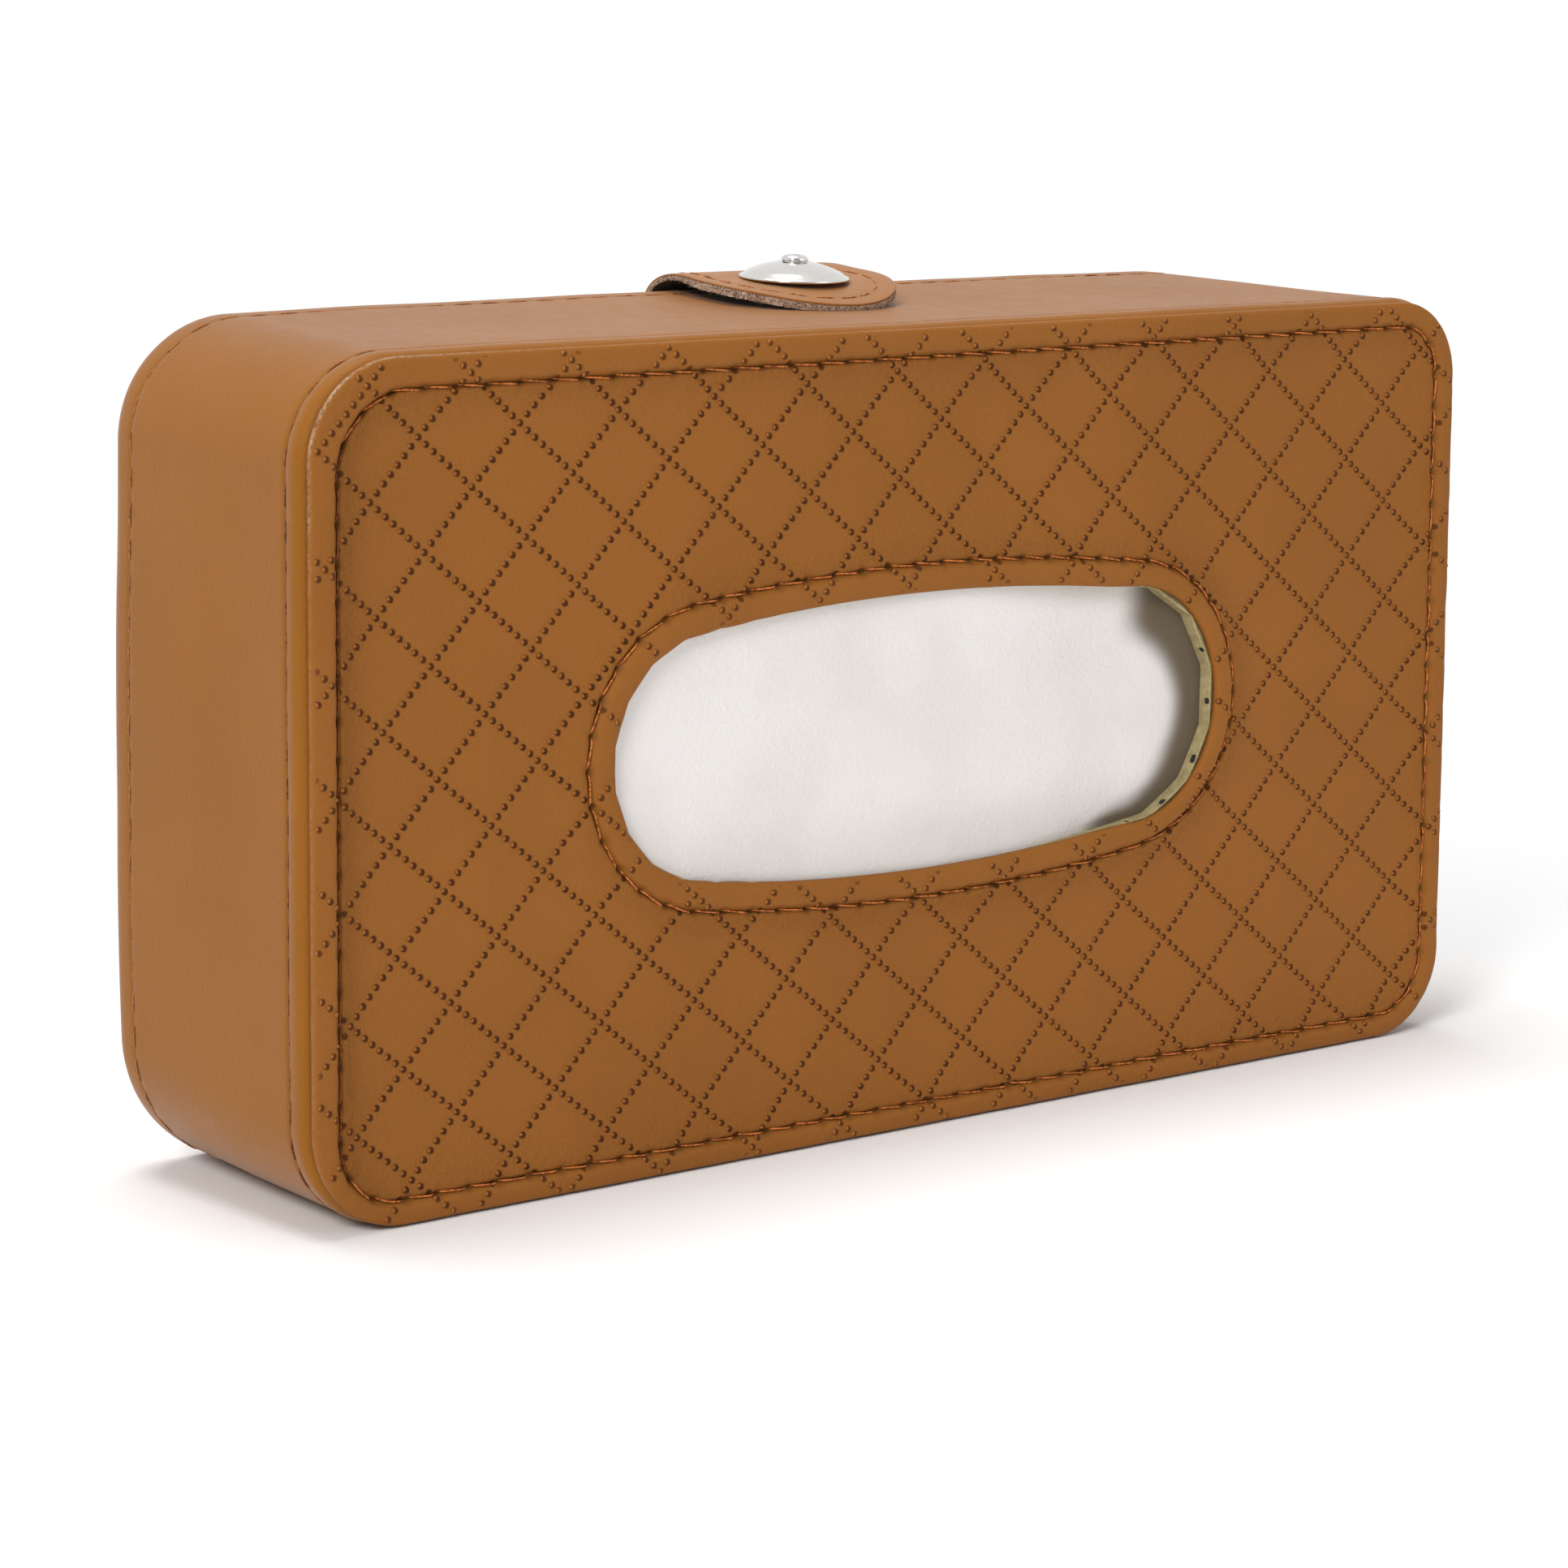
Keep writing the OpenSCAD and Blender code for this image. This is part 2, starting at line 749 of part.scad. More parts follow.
// The strap's side view at a distance from its middle line, from the flap to the
// tip: the arch, then the straight run, then the droop
function strap_line(offset) = concat(
    arc_points(arch_mid, arch_r + offset, arch_turn, 90 - strap_slope, arch_steps),
    arc_points(droop_mid, droop_r + offset, 90 - strap_slope, droop_turn, droop_steps)
);

// Side view of a layer of the strap, between two distances from its middle line
module strap_side(low, high) {
    under = strap_line(low);
    polygon(concat(
        strap_line(high),
        [for (i = [0:len(under) - 1]) under[len(under) - 1 - i]]
    ));
}

// A layer of the strap, cut to its outline
module strap_layer(low, high, inset) {
    reach = 2 * strap_end_r + strap_root_w;
    intersection() {
        rotate([90, 0, -90])
            linear_extrude(height = reach, center = true)
                strap_side(low, high);
        translate([0, 0, cover_h - reach / 2])
            linear_extrude(height = reach) strap_plan(inset);
    }
}

// Places a piece on the strap's middle layer at the snap, square to the strap
module at_snap() {
    translate([0, -snap_f, snap_z]) rotate([strap_slope, 0, 0]) children();
}

module cap_rivet_hole() {
    at_snap() cylinder(r = rivet_hole_r, h = 2 * strap_t, center = true);
}

module strap_outer_ply() {
    color(leather)
        difference() {
            strap_layer(0, ply_t, 0);
            cap_rivet_hole();
        }
}

module strap_inner_ply() {
    color(leather)
        difference() {
            strap_layer(-ply_t, 0, 0);
            cap_rivet_hole();
        }
}

// The stitch row runs along both sides of the strap and round its end
module strap_thread() {
    color(thread_orange)
        difference() {
            strap_layer(ply_t, ply_t + strap_row_t, strap_row_in);
            translate([0, 0, cover_h - strap_end_r])
                linear_extrude(height = 2 * strap_end_r)
                    strap_plan(strap_row_in + strap_row_w);
        }
}

// The cap is a shallow dome of sheet metal with a flat rolled edge
module snap_cap() {
    color(steel) at_snap() translate([0, 0, cap_seat])
        rotate_extrude()
            difference() {
                intersection() {
                    translate([0, cap_edge_t + cap_rise - dome_r]) circle(dome_r, $fn = 180);
                    square([cap_dia / 2, cap_edge_t + cap_rise]);
                }
                square([rivet_hole_r, cap_edge_t + cap_rise]);
            }
}

// The rivet through the cap, the strap and the socket's plate
module cap_rivet() {
    dome_top = cap_seat + cap_edge_t + cap_rise;
    head_r = nub_dia / 2;
    color(steel) at_snap() {
        translate([0, 0, dome_top])
            rotate_extrude()
                intersection() {
                    translate([0, nub_rise - head_r]) circle(head_r);
                    square([head_r, nub_rise]);
                }
        translate([0, 0, -ply_t - socket_plate_t])
            cylinder(r = shank_r, h = dome_top + ply_t + socket_plate_t);
        translate([0, 0, -ply_t - socket_plate_t - shank_head_t])
            cylinder(r = shank_head_r, h = shank_head_t);
    }
}

// The socket under the strap: a plate with a wall that the ring spring lies in
module snap_socket() {
    color(steel) at_snap() translate([0, 0, socket_under])
        difference() {
            cylinder(d = socket_dia, h = socket_t);
            translate([0, 0, -over])
                cylinder(r = socket_bore_r, h = socket_t - socket_plate_t + over);
            cylinder(r = rivet_hole_r, h = socket_t + over);
        }
}

// The ring spring that grips the stud's neck
module snap_spring() {
    color(steel) at_snap() translate([0, 0, spring_level])
        rotate_extrude()
            translate([spring_mid_r, 0]) circle(spring_wire_r, $fn = 24);
}

front_leather();
front_foam();
front_board();
front_lining();
front_thread();
slot_thread();
band_leather();
band_board();
band_lining();
band_front_thread();
band_back_thread();
hinge_strip();
hinge_thread();
tissue_stack();
snap_stud();
stud_rivet();
back_leather();
back_board();
back_lining();
back_thread();
strap_sewn_end();
strap_outer_ply();
strap_inner_ply();
strap_thread();
snap_cap();
cap_rivet();
snap_socket();
snap_spring();
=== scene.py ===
"""Looks of the tissue box cover: stitched leather, quilting, strap, snap and tissues.

Lengths are in millimetres until a mesh is made. Depths are written as f, which points
out of the slotted face, so that y = -f. n is a distance out of the cover's outline.
"""
from math import atan2, cos, exp, pi, radians, sin, sqrt
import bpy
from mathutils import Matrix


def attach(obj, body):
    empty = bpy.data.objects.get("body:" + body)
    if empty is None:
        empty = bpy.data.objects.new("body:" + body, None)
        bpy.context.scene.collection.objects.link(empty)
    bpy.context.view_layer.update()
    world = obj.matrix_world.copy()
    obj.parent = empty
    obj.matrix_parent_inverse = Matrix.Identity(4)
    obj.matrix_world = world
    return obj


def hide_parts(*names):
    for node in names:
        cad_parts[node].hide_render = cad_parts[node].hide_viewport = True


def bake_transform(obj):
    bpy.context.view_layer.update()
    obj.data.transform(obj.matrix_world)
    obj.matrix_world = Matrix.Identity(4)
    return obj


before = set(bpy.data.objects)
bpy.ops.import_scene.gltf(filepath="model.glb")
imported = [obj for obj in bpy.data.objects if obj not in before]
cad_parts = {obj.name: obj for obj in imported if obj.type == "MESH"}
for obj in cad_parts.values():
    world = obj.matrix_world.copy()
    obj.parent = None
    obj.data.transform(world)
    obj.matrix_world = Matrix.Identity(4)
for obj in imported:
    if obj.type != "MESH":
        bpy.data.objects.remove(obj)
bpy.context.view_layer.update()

from types import SimpleNamespace

import bpy
import numpy as np
from mathutils import Matrix, Vector

MM = 0.001
rng = np.random.default_rng(11)

# ---- sizes
SLOT_MID = (-0.85, 62.7)
SLOT_HALF = (60.55, 21.65)
SLOT_END_R = 19.0
RIM_S = 4.45  # slot seam, out from the slot's edge
SEAM_PULL = (0.8, 0.4)  # how far that seam lies off the oval at the right end
QUILT_AT = (-95.29, 113.37)  # a crossing of the quilting's lines
QUILT_D = (17.57, 16.4)  # a diamond's width and height
QUILT_TURN = radians(3.44)
BEADS_A_SIDE = 7
TOP_F = 27.5  # level of the front sheet's margin
FRONT_F, REAR_F = 24.5, -25.0  # where the band's front and rear outlines lie
ROW_F, ROW_B = 22.2, -19.7  # the band's stitch rows
REAR_CROWN = 0.5  # rise of the band's rear top edge in its middle
LEFT_BULGE = 1.1  # the same for its rear left edge


class Outline:
    """A rounded oblong. Its sides are given by x at z = 0 and 125, its top and bottom by z
    at x = -115 and 115, its corners by their radii: top right, top left, bottom left,
    bottom right."""

    def __init__(self, left, right, top, bottom, radii):
        self.left, self.right, self.top, self.bottom = left, right, top, bottom
        self.radii = np.array(radii, float)
        tr, tl, bl, br = radii
        self.centre = np.array([
            (self.side(right, 110) - tr, self.cap(top, 100) - tr),
            (self.side(left, 110) + tl, self.cap(top, -100) - tl),
            (self.side(left, 15) + bl, self.cap(bottom, -100) + bl),
            (self.side(right, 15) - br, self.cap(bottom, 100) + br)])

    @staticmethod
    def side(ends, z):
        return ends[0] + (ends[1] - ends[0]) * z / 125

    @staticmethod
    def cap(ends, x):
        return ends[0] + (ends[1] - ends[0]) * (x + 115) / 230

    def inside(self, x, z):
        """How far a point lies in from the outline, below 0 outside it."""
        right, upper = x > 0, z > 62.5
        dh = np.where(right, self.side(self.right, z) - x, x - self.side(self.left, z))
        dv = np.where(upper, self.cap(self.top, x) - z, z - self.cap(self.bottom, x))
        r = self.radii[np.where(upper, np.where(right, 0, 1), np.where(right, 3, 2))]
        in_corner = r - np.hypot(r - dh, r - dv)
        return np.where((dh < r) & (dv < r), in_corner, np.minimum(dh, dv))

    def ring(self, c, n):
        """Points at a distance n out of the outline, for each column."""
        return c.w @ self.centre + ((c.w @ self.radii) + n)[..., None] * c.d


SHEET, SEAM, FRONT, REAR, FLAP, PACK = (Outline(*sizes) for sizes in (
    ((-114.5, -113.8), (115.1, 114.8), (124.8, 125.2), (0.14, 0.14), (12.6, 15.0, 15.4, 14.2)),
    ((-109.75, -108.9), (111.1, 110.9), (120.1, 121.1), (3.75, 3.75), (8.2, 12.3, 9.6, 10.0)),
    ((-115.4, -114.6), (115.3, 115.1), (125.3, 125.7), (0.0, 0.0), (13.2, 16.0, 16.0, 14.8)),
    ((-115.3, -113.5), (112.9, 112.9), (128.0, 128.5), (0.0, 0.0), (26.0, 18.2, 20.5, 18.0)),
    ((-112.4, -110.6), (110.2, 110.2), (125.0, 125.4), (1.55, 1.55), (23.0, 15.4, 17.6, 15.2)),
    ((-99.4, -99.4), (99.4, 99.4), (112.0, 112.0), (4.4, 4.4), (2.0, 2.0, 2.0, 2.0))))


# ---- mesh helpers
def piece(name, verts, faces, material, body, replaces=(), attrs=None, smooth=True,
          angle=None):
    """A mesh object, its faces turned out, with its body and replaced nodes. attrs are values for
    each vertex, angle is the least angle of a sharp edge."""
    verts = np.asarray(verts, float).reshape(-1, 3) * MM
    faces = [np.asarray(f, int) for f in (faces if isinstance(faces, list) else [faces])]
    tris = np.concatenate([f[:, [0, k, k + 1]] for f in faces for k in range(1, f.shape[1] - 1)])
    a, b, c = verts[tris.T]
    if np.einsum("ij,ij->", a, np.cross(b, c)) < 0:
        faces = [f[:, ::-1] for f in faces]
    counts = np.concatenate([np.full(len(f), f.shape[1]) for f in faces])
    loops = np.concatenate([f.ravel() for f in faces])
    me = bpy.data.meshes.new(name)
    me.vertices.add(len(verts))
    me.vertices.foreach_set("co", verts.ravel())
    me.loops.add(len(loops))
    me.loops.foreach_set("vertex_index", loops)
    me.polygons.add(len(counts))
    me.polygons.foreach_set("loop_start", np.concatenate([[0], np.cumsum(counts)[:-1]]))
    me.update(calc_edges=True)
    me.validate()
    for key, values in (attrs or {}).items():
        me.attributes.new(key, "FLOAT", "POINT").data.foreach_set(
            "value", np.asarray(values, np.float32).ravel())
    me.polygons.foreach_set("use_smooth", np.full(len(me.polygons), smooth))
    if angle:
        me.set_sharp_from_angle(angle=radians(angle))
    me.materials.append(material)
    ob = bpy.data.objects.new(name, me)
    bpy.context.scene.collection.objects.link(ob)
    if body:
        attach(ob, body)
    if replaces:
        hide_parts(*replaces)
    return ob


def grid_faces(rows, cols, close_rows=True, close_cols=True):
    r = np.arange(rows if close_rows else rows - 1)
    c = np.arange(cols if close_cols else cols - 1)
    r, c = np.meshgrid(r, c, indexing="ij")
    r2, c2 = (r + 1) % rows, (c + 1) % cols
    return np.stack([r * cols + c, r * cols + c2, r2 * cols + c2, r2 * cols + c], -1).reshape(-1, 4)


def fan(ring, tip, turned=False):
    """Triangles from each edge of a closed ring of vertices to a tip."""
    ends = [np.roll(ring, -1), ring] if turned else [ring, np.roll(ring, -1)]
    return np.stack(ends + [np.full(len(ring), tip)], 1)


def tile(faces, verts_each, count):
    """The same faces for a number of copies that lie one after the other."""
    step = np.arange(count)[:, None, None] * verts_each
    return (faces[None] + step).reshape(-1, faces.shape[1])


def round_angles(count):
    return np.arange(count) / count * 2 * pi


def smoothstep(a, b, x):
    t = np.clip((x - a) / (b - a), 0, 1)
    return t * t * (3 - 2 * t)


def bell(x, width, power=2):
    """1 at x = 0, falling off over the width."""
    return np.exp(-(x / width) ** power)


def unit(v):
    return v / np.linalg.norm(v, axis=-1, keepdims=True).clip(1e-9)


def waves(x, y, scale, seed):
    """Smooth, seeded unevenness of about -1 to 1 over two coordinates."""
    count = 7
    r = np.random.default_rng(seed)
    out = np.zeros(np.broadcast(x, y).shape)
    for _ in range(count):
        a, ph = r.uniform(0, 2 * pi, 2)
        k = 2 * pi / scale * r.uniform(0.5, 1.6)
        out = out + np.sin(k * (np.cos(a) * x + np.sin(a) * y) + ph)
    return out / sqrt(count) / 1.2


def at_level(xz, level):
    return np.stack([xz[..., 0], np.broadcast_to(-level, xz[..., 0].shape), xz[..., 1]], -1)


# ---- the cover's outline
def outline_columns(count):
    """Columns round the outline, seen from the front, counter-clockwise from the middle of
    the right side: each has an outward direction and its share of the four corners."""
    lengths = [45, 28, 190, 28, 90, 28, 190, 28, 45]
    ends = np.cumsum(lengths)
    w, d = np.zeros((count, 4)), np.zeros((count, 2))
    for k, s in enumerate(np.arange(count) / count * ends[-1]):
        i = int(np.searchsorted(ends, s, side="right"))
        u = (s - (ends[i] - lengths[i])) / lengths[i]
        corner = (i - 1) // 2
        if i % 2:
            turn = radians(90 * (corner + u))
            w[k, corner] = 1
        else:
            u = 0.5 + 0.5 * u if i == 0 else 0.5 * u if i == 8 else u
            turn = radians(90 * (i // 2))
            w[k, (i // 2 - 1) % 4] = 1 - u
            w[k, (i // 2) % 4] += u
        d[k] = cos(turn), sin(turn)
    return SimpleNamespace(w=w, d=d, dx=d[:, 0], dz=d[:, 1])


def on_cover(c, n, f):
    """The point at distance n out of the cover's outline and level f, for each column."""
    f = np.asarray(f, float)
    f = f + 1.1 * smoothstep(0.3, 0.9, c.dz) * bell(f - ROW_B, 3.0)
    t = (FRONT_F - f) / (FRONT_F - REAR_F)
    t = np.minimum(t, 1.06) + 0 * c.dx
    mid0, mid1 = c.w @ FRONT.centre, c.w @ REAR.centre
    r0, r1 = c.w @ FRONT.radii, c.w @ REAR.radii
    r = r0 + (r1 - r0) * t + n
    x = mid0[:, 0] + (mid1 - mid0)[:, 0] * t + r * c.dx
    z = mid0[:, 1] + (mid1 - mid0)[:, 1] * t + r * c.dz
    x = x - LEFT_BULGE * smoothstep(0.3, 0.9, -c.dx) * smoothstep(0.1, 0.95, t) \
        * (1 - ((z - 66) / 62) ** 2).clip(0)
    z = z + REAR_CROWN * smoothstep(0.3, 0.9, c.dz) * smoothstep(0.35, 0.95, t) \
        * (1 - (x / 115) ** 2).clip(0)
    return np.stack(np.broadcast_arrays(x, -(f + 0 * x), z), -1)


# ---- the slot's oval
END_X = SLOT_HALF[0] - SLOT_END_R
SIDE_R = (END_X ** 2 + SLOT_HALF[1] ** 2 - SLOT_END_R ** 2) / (2 * (SLOT_HALF[1] - SLOT_END_R))
SIDE_Y = SIDE_R - SLOT_HALF[1]
JOIN = atan2(END_X, SIDE_Y)


def slot_distance(x, z):
    """How far a point lies out of the slot's edge."""
    x, z = np.abs(x - SLOT_MID[0]), np.abs(z - SLOT_MID[1])
    end = x * SIDE_Y - (z + SIDE_Y) * END_X > 0
    return np.where(end, np.hypot(x - END_X, z) - SLOT_END_R, np.hypot(x, z + SIDE_Y) - SIDE_R)


def seam_distance(x, z):
    """The same for the slot's seam, which lies further out at the right end."""
    pulled = smoothstep(36.0, 58.0, x)
    return slot_distance(x - SEAM_PULL[0] * pulled, z - SEAM_PULL[1] * pulled)


def slot_points(share, grow):
    """Points of the oval, grown by a distance, at shares of the way round from the right."""
    q_end, q_side = SLOT_END_R * (pi / 2 - JOIN), SIDE_R * JOIN
    quarter = q_end + q_side
    s = (np.asarray(share) % 1.0) * 4 * quarter
    which = np.minimum((s // quarter).astype(int), 3)
    s = s - which * quarter
    s = np.where(which % 2 == 1, quarter - s, s)
    end = s < q_end
    turn = np.where(end, s / SLOT_END_R, pi / 2 - JOIN + (s - q_end) / SIDE_R)
    r = np.where(end, SLOT_END_R, SIDE_R)
    x = np.where(end, END_X, 0) + r * np.cos(turn) + grow * np.cos(turn)
    z = np.where(end, 0, -SIDE_Y) + r * np.sin(turn) + grow * np.sin(turn)
    x = np.where((which == 1) | (which == 2), -x, x)
    z = np.where(which >= 2, -z, z)
    return np.stack([x + SLOT_MID[0], z + SLOT_MID[1]], -1)


def at_right(shares):
    """1 at the slot's right end, 0 away from it."""
    return smoothstep(0.72, 0.97, np.cos(2 * pi * shares))


# ---- the front's surface
d_one = QUILT_D[0] * np.array([cos(QUILT_TURN), sin(QUILT_TURN)])
d_two = QUILT_D[1] * np.array([-sin(QUILT_TURN), cos(QUILT_TURN)])
E1, E2 = (d_one + d_two) / 2, (d_one - d_two) / 2  # a diamond's sides
SIDE = float(np.linalg.norm(E1))
TO_IJ = np.linalg.inv(np.stack([E1, E2], 1))


def front_level(x, z):
    """Level of the front sheet's surface."""
    edge, q, s = SHEET.inside(x, z), SEAM.inside(x, z), seam_distance(x, z)
    px, pz = x - QUILT_AT[0], z - QUILT_AT[1]
    i, j = (TO_IJ[k, 0] * px + TO_IJ[k, 1] * pz for k in (0, 1))
    di, dj = np.abs(i - np.round(i)) * SIDE, np.abs(j - np.round(j)) * SIDE
    valley = 1 - (1 - bell(di, 0.8)) * (1 - bell(dj, 0.8))
    pillow = np.sqrt(np.abs(np.sin(pi * i) * np.sin(pi * j)))
    field = -1.2 + 0.06 * pillow - 0.06 * valley + 0.10 * waves(x, z, 38, 3)
    d = np.minimum(q, s - RIM_S).clip(0)
    field = field + 0.9 * bell(d, 3.0, 1.5) - 0.52 * bell(d, 0.4)
    wide = np.where(q < 0, edge - q, RIM_S).clip(0.5)
    d = np.where(q < 0, edge, s)
    strip = 0.06 + 0.06 * waves(x, z, 14, 5) - 0.07 * valley
    strip = strip + 0.16 * np.sin(np.clip(d / wide, 0, 1) * pi)
    strip = -0.84 + (strip + 0.84) * smoothstep(0.0, 1.0, wide - d)
    return TOP_F + np.where((q < 0) | (s < RIM_S), strip, field)


# ---- stitches and sweeps
def sample_path(points, normals, closed=True):
    """Returns place(s), a function of arc length that gives points, tangents and normals,
    and the path's length."""
    pts, nor = np.asarray(points, float), np.asarray(normals, float)
    if closed:
        pts, nor = np.vstack([pts, pts[:1]]), np.vstack([nor, nor[:1]])
    arc = np.concatenate([[0], np.cumsum(np.linalg.norm(np.diff(pts, axis=0), axis=1))])
    total = arc[-1]

    def at(s, rows):
        s = s % total if closed else np.clip(s, 0, total)
        return np.stack([np.interp(s, arc, rows[:, k]) for k in range(3)], -1)

    def place(s):
        n = at(s, nor)
        t = at(s + 0.15, pts) - at(s - 0.15, pts)
        return at(s, pts), unit(t), unit(n)
    return place, total


def stitch_places(total, pitch, seed, inset=0.0):
    """The stitches' middles along a row, and their even step."""
    r = np.random.default_rng(seed)
    count = max(1, int(round((total - 2 * inset) / pitch)))
    step = (total - 2 * inset) / count
    return inset + (np.arange(count) + 0.5) * step + r.uniform(-0.12, 0.12, count), step


def stitches(name, place, centres, length, radius, curve, seed, material, body="cover",
             replaces=(), rings=18, sides=6):
    """Twisted thread stitches that rise out of one hole and dip into the next. curve gives
    their rise, their sink at the ends and their slant."""
    rise, sink, slant = curve
    lay = 1.15                          # length of a turn of the thread's twist
    r = np.random.default_rng(seed)
    count = len(centres)
    u = np.linspace(-1, 1, rings)
    own = length * (1 + r.uniform(-0.05, 0.05, count))
    s = centres[:, None] + u[None] * own[:, None] / 2
    p, t, n = place(s)
    b = np.cross(t, n)
    lift = rise - (rise + sink) * np.abs(u) ** 5
    lean = slant * (1 + r.uniform(-0.4, 0.4, count))
    wob = r.uniform(-0.06, 0.06, (count, 1))
    mid = p + n * lift[None, :, None] + b * (lean[:, None] * u[None] + wob)[..., None]
    th = round_angles(sides)
    psi = s / lay * 2 * pi + r.uniform(0, 6.28, (count, 1))
    rad = radius * (0.70 + 0.30 * np.abs(np.cos(th[None, None] - psi[..., None])))
    rad = rad * (1 - 0.12 * np.abs(u) ** 3)[None, :, None]
    ring = mid[:, :, None] + rad[..., None] * (np.cos(th)[:, None] * b[:, :, None]
                                               + np.sin(th)[:, None] * n[:, :, None])
    verts = np.concatenate([ring.reshape(count, -1, 3), mid[:, [0, -1]]], 1)
    each = rings * sides + 2
    k = np.arange(sides)
    faces = (grid_faces(rings, sides, False), fan(k, each - 2, True),
             fan(each - 2 - sides + k, each - 1))
    return piece(name, verts, [tile(f, each, count) for f in faces], material, body,
                 replaces=replaces)


def stitch_holes(name, place, centres):
    """Painted shade at the floors of the hollows where the thread goes down: dark flat lens shapes.
    """
    long, wide, thick, lift, sides = 0.50, 0.30, 0.06, -0.62, 10
    p, t, n = place(centres)
    b = np.cross(t, n)
    th = round_angles(sides)
    rim = (p + n * lift)[:, None] + t[:, None] * (np.cos(th) * long)[:, None] \
        + b[:, None] * (np.sin(th) * wide)[:, None]
    tips = np.stack([p + n * (lift + thick), p + n * (lift - thick)], 1)
    k = np.arange(sides)
    faces = np.concatenate([fan(k, sides, True), fan(k, sides + 1)])
    piece(name, np.concatenate([rim, tips], 1), tile(faces, sides + 2, len(centres)), M.dark,
          "cover")


def sweep(cols, profile):
    """A closed profile of (n, f) points run round the outline."""
    n, f = np.array(profile, float).T[:, :, None]
    return on_cover(cols, n + 0 * cols.dx, f)


def arc(mid, r, a0, a1, steps):
    a = np.radians(np.linspace(a0, a1, steps + 1))
    return [(mid[0] + r * cos(v), mid[1] + r * sin(v)) for v in a]


# ---- materials
class Tree:
    """A node tree, of a new material unless it gets another owner."""

    def __init__(self, name, owner=None):
        self.owner = owner or bpy.data.materials.new(name)
        self.owner.use_nodes = True
        self.t = self.owner.node_tree
        self.t.nodes.clear()
        if not owner:
            self.out = self.t.nodes.new("ShaderNodeOutputMaterial")
            self.bsdf = self.t.nodes.new("ShaderNodeBsdfPrincipled")
            self.t.links.new(self.bsdf.outputs[0], self.out.inputs[0])
            self.place = self.t.nodes.new("ShaderNodeTexCoord").outputs["Object"]

    def put(self, socket, value):
        if isinstance(value, bpy.types.NodeSocket):
            self.t.links.new(value, socket)
        elif value is not None:
            socket.default_value = value

    def node(self, kind, *values, out=0, props=None, **inputs):
        n = self.t.nodes.new("ShaderNode" + kind)
        for k, v in (props or {}).items():
            setattr(n, k, v)
        for socket, v in zip(n.inputs, values):
            self.put(socket, v)
        for k, v in inputs.items():
            self.put(n.inputs[k.replace("_", " ")], v)
        return n.outputs[out]

    def math(self, op, *values):
        return self.node("Math", *values, props={"operation": op})

    def ramp(self, value, lo, hi, a=0.0, b=1.0):
        return self.node("MapRange", value, lo, hi, a, b,
                         props={"interpolation_type": "SMOOTHSTEP"})

    def mix(self, share, a, b):
        """Mixes two colours, whose sockets are 6 and 7 of the node's."""
        n = self.node("Mix", share, props={"data_type": "RGBA"}).node
        self.put(n.inputs[6], a)
        self.put(n.inputs[7], b)
        return n.outputs[2]

    def noise(self, scale, detail=3.0, rough=0.5):
        return self.node("TexNoise", Vector=self.place, Scale=scale, Detail=detail,
                         Roughness=rough)

    def voronoi(self, scale, feature="F1"):
        return self.node("TexVoronoi", props={"feature": feature}, Vector=self.place,
                         Scale=scale)

    def attribute(self, name):
        return self.node("Attribute", out=2, props={"attribute_name": name})

    def bump(self, height, distance, strength=1.0, after=None):
        return self.node("Bump", Height=height, Distance=distance, Strength=strength,
                         Normal=after)

    def finish(self, **sockets):
        for k, v in sockets.items():
            self.put(self.bsdf.inputs[k.replace("_", " ")], v)
        return self.owner


def srgb(r, g, b):
    return tuple(((c / 255 + 0.055) / 1.055) ** 2.4 if c > 10 else c / 255 / 12.92
                 for c in (r, g, b)) + (1.0,)


def scaled(colour, k, more=0.0):
    return tuple(min(1.0, c * k + more) for c in colour[:3]) + (1.0,)


LEE = np.array([0.26, -0.08])  # the side of a bead away from the light, where its shadow is painted, from its middle


def bead_hollow_shadows(t):
    """1 in the hollow beside each bead, with a painted shadow set off to its side away from the
    light: the nearest one on either set of lines.
    """
    split = t.node("SeparateXYZ", Vector=t.place).node
    x = t.math("MULTIPLY_ADD", split.outputs["X"], 1000.0, -QUILT_AT[0])
    z = t.math("MULTIPLY_ADD", split.outputs["Z"], 1000.0, -QUILT_AT[1])
    ij = [t.math("ADD", t.math("MULTIPLY", x, float(TO_IJ[k, 0])),
                 t.math("MULTIPLY", z, float(TO_IJ[k, 1]))) for k in (0, 1)]
    found = None
    for a, b in ((0, 1), (1, 0)):
        unit, cross = (E1, E2)[a] / SIDE, (E1, E2)[b] / SIDE
        along = t.math("MULTIPLY", ij[a], float(BEADS_A_SIDE))
        along = t.math("SUBTRACT", along, t.math("ROUND", along))
        across = t.math("SUBTRACT", ij[b], t.math("ROUND", ij[b]))
        along = t.math("MULTIPLY_ADD", along, SIDE / BEADS_A_SIDE, -float(unit @ LEE))
        across = t.math("MULTIPLY_ADD", across, SIDE, -float(cross @ LEE))
        d = t.math("SQRT", t.math("ADD", t.math("POWER", along, 2.0),
                                  t.math("POWER", across, 2.0)))
        found = d if found is None else t.math("MINIMUM", found, d)
    return t.math("MULTIPLY", t.ramp(found, 0.34, 0.66, 0.92, 0.0), t.attribute("free"))


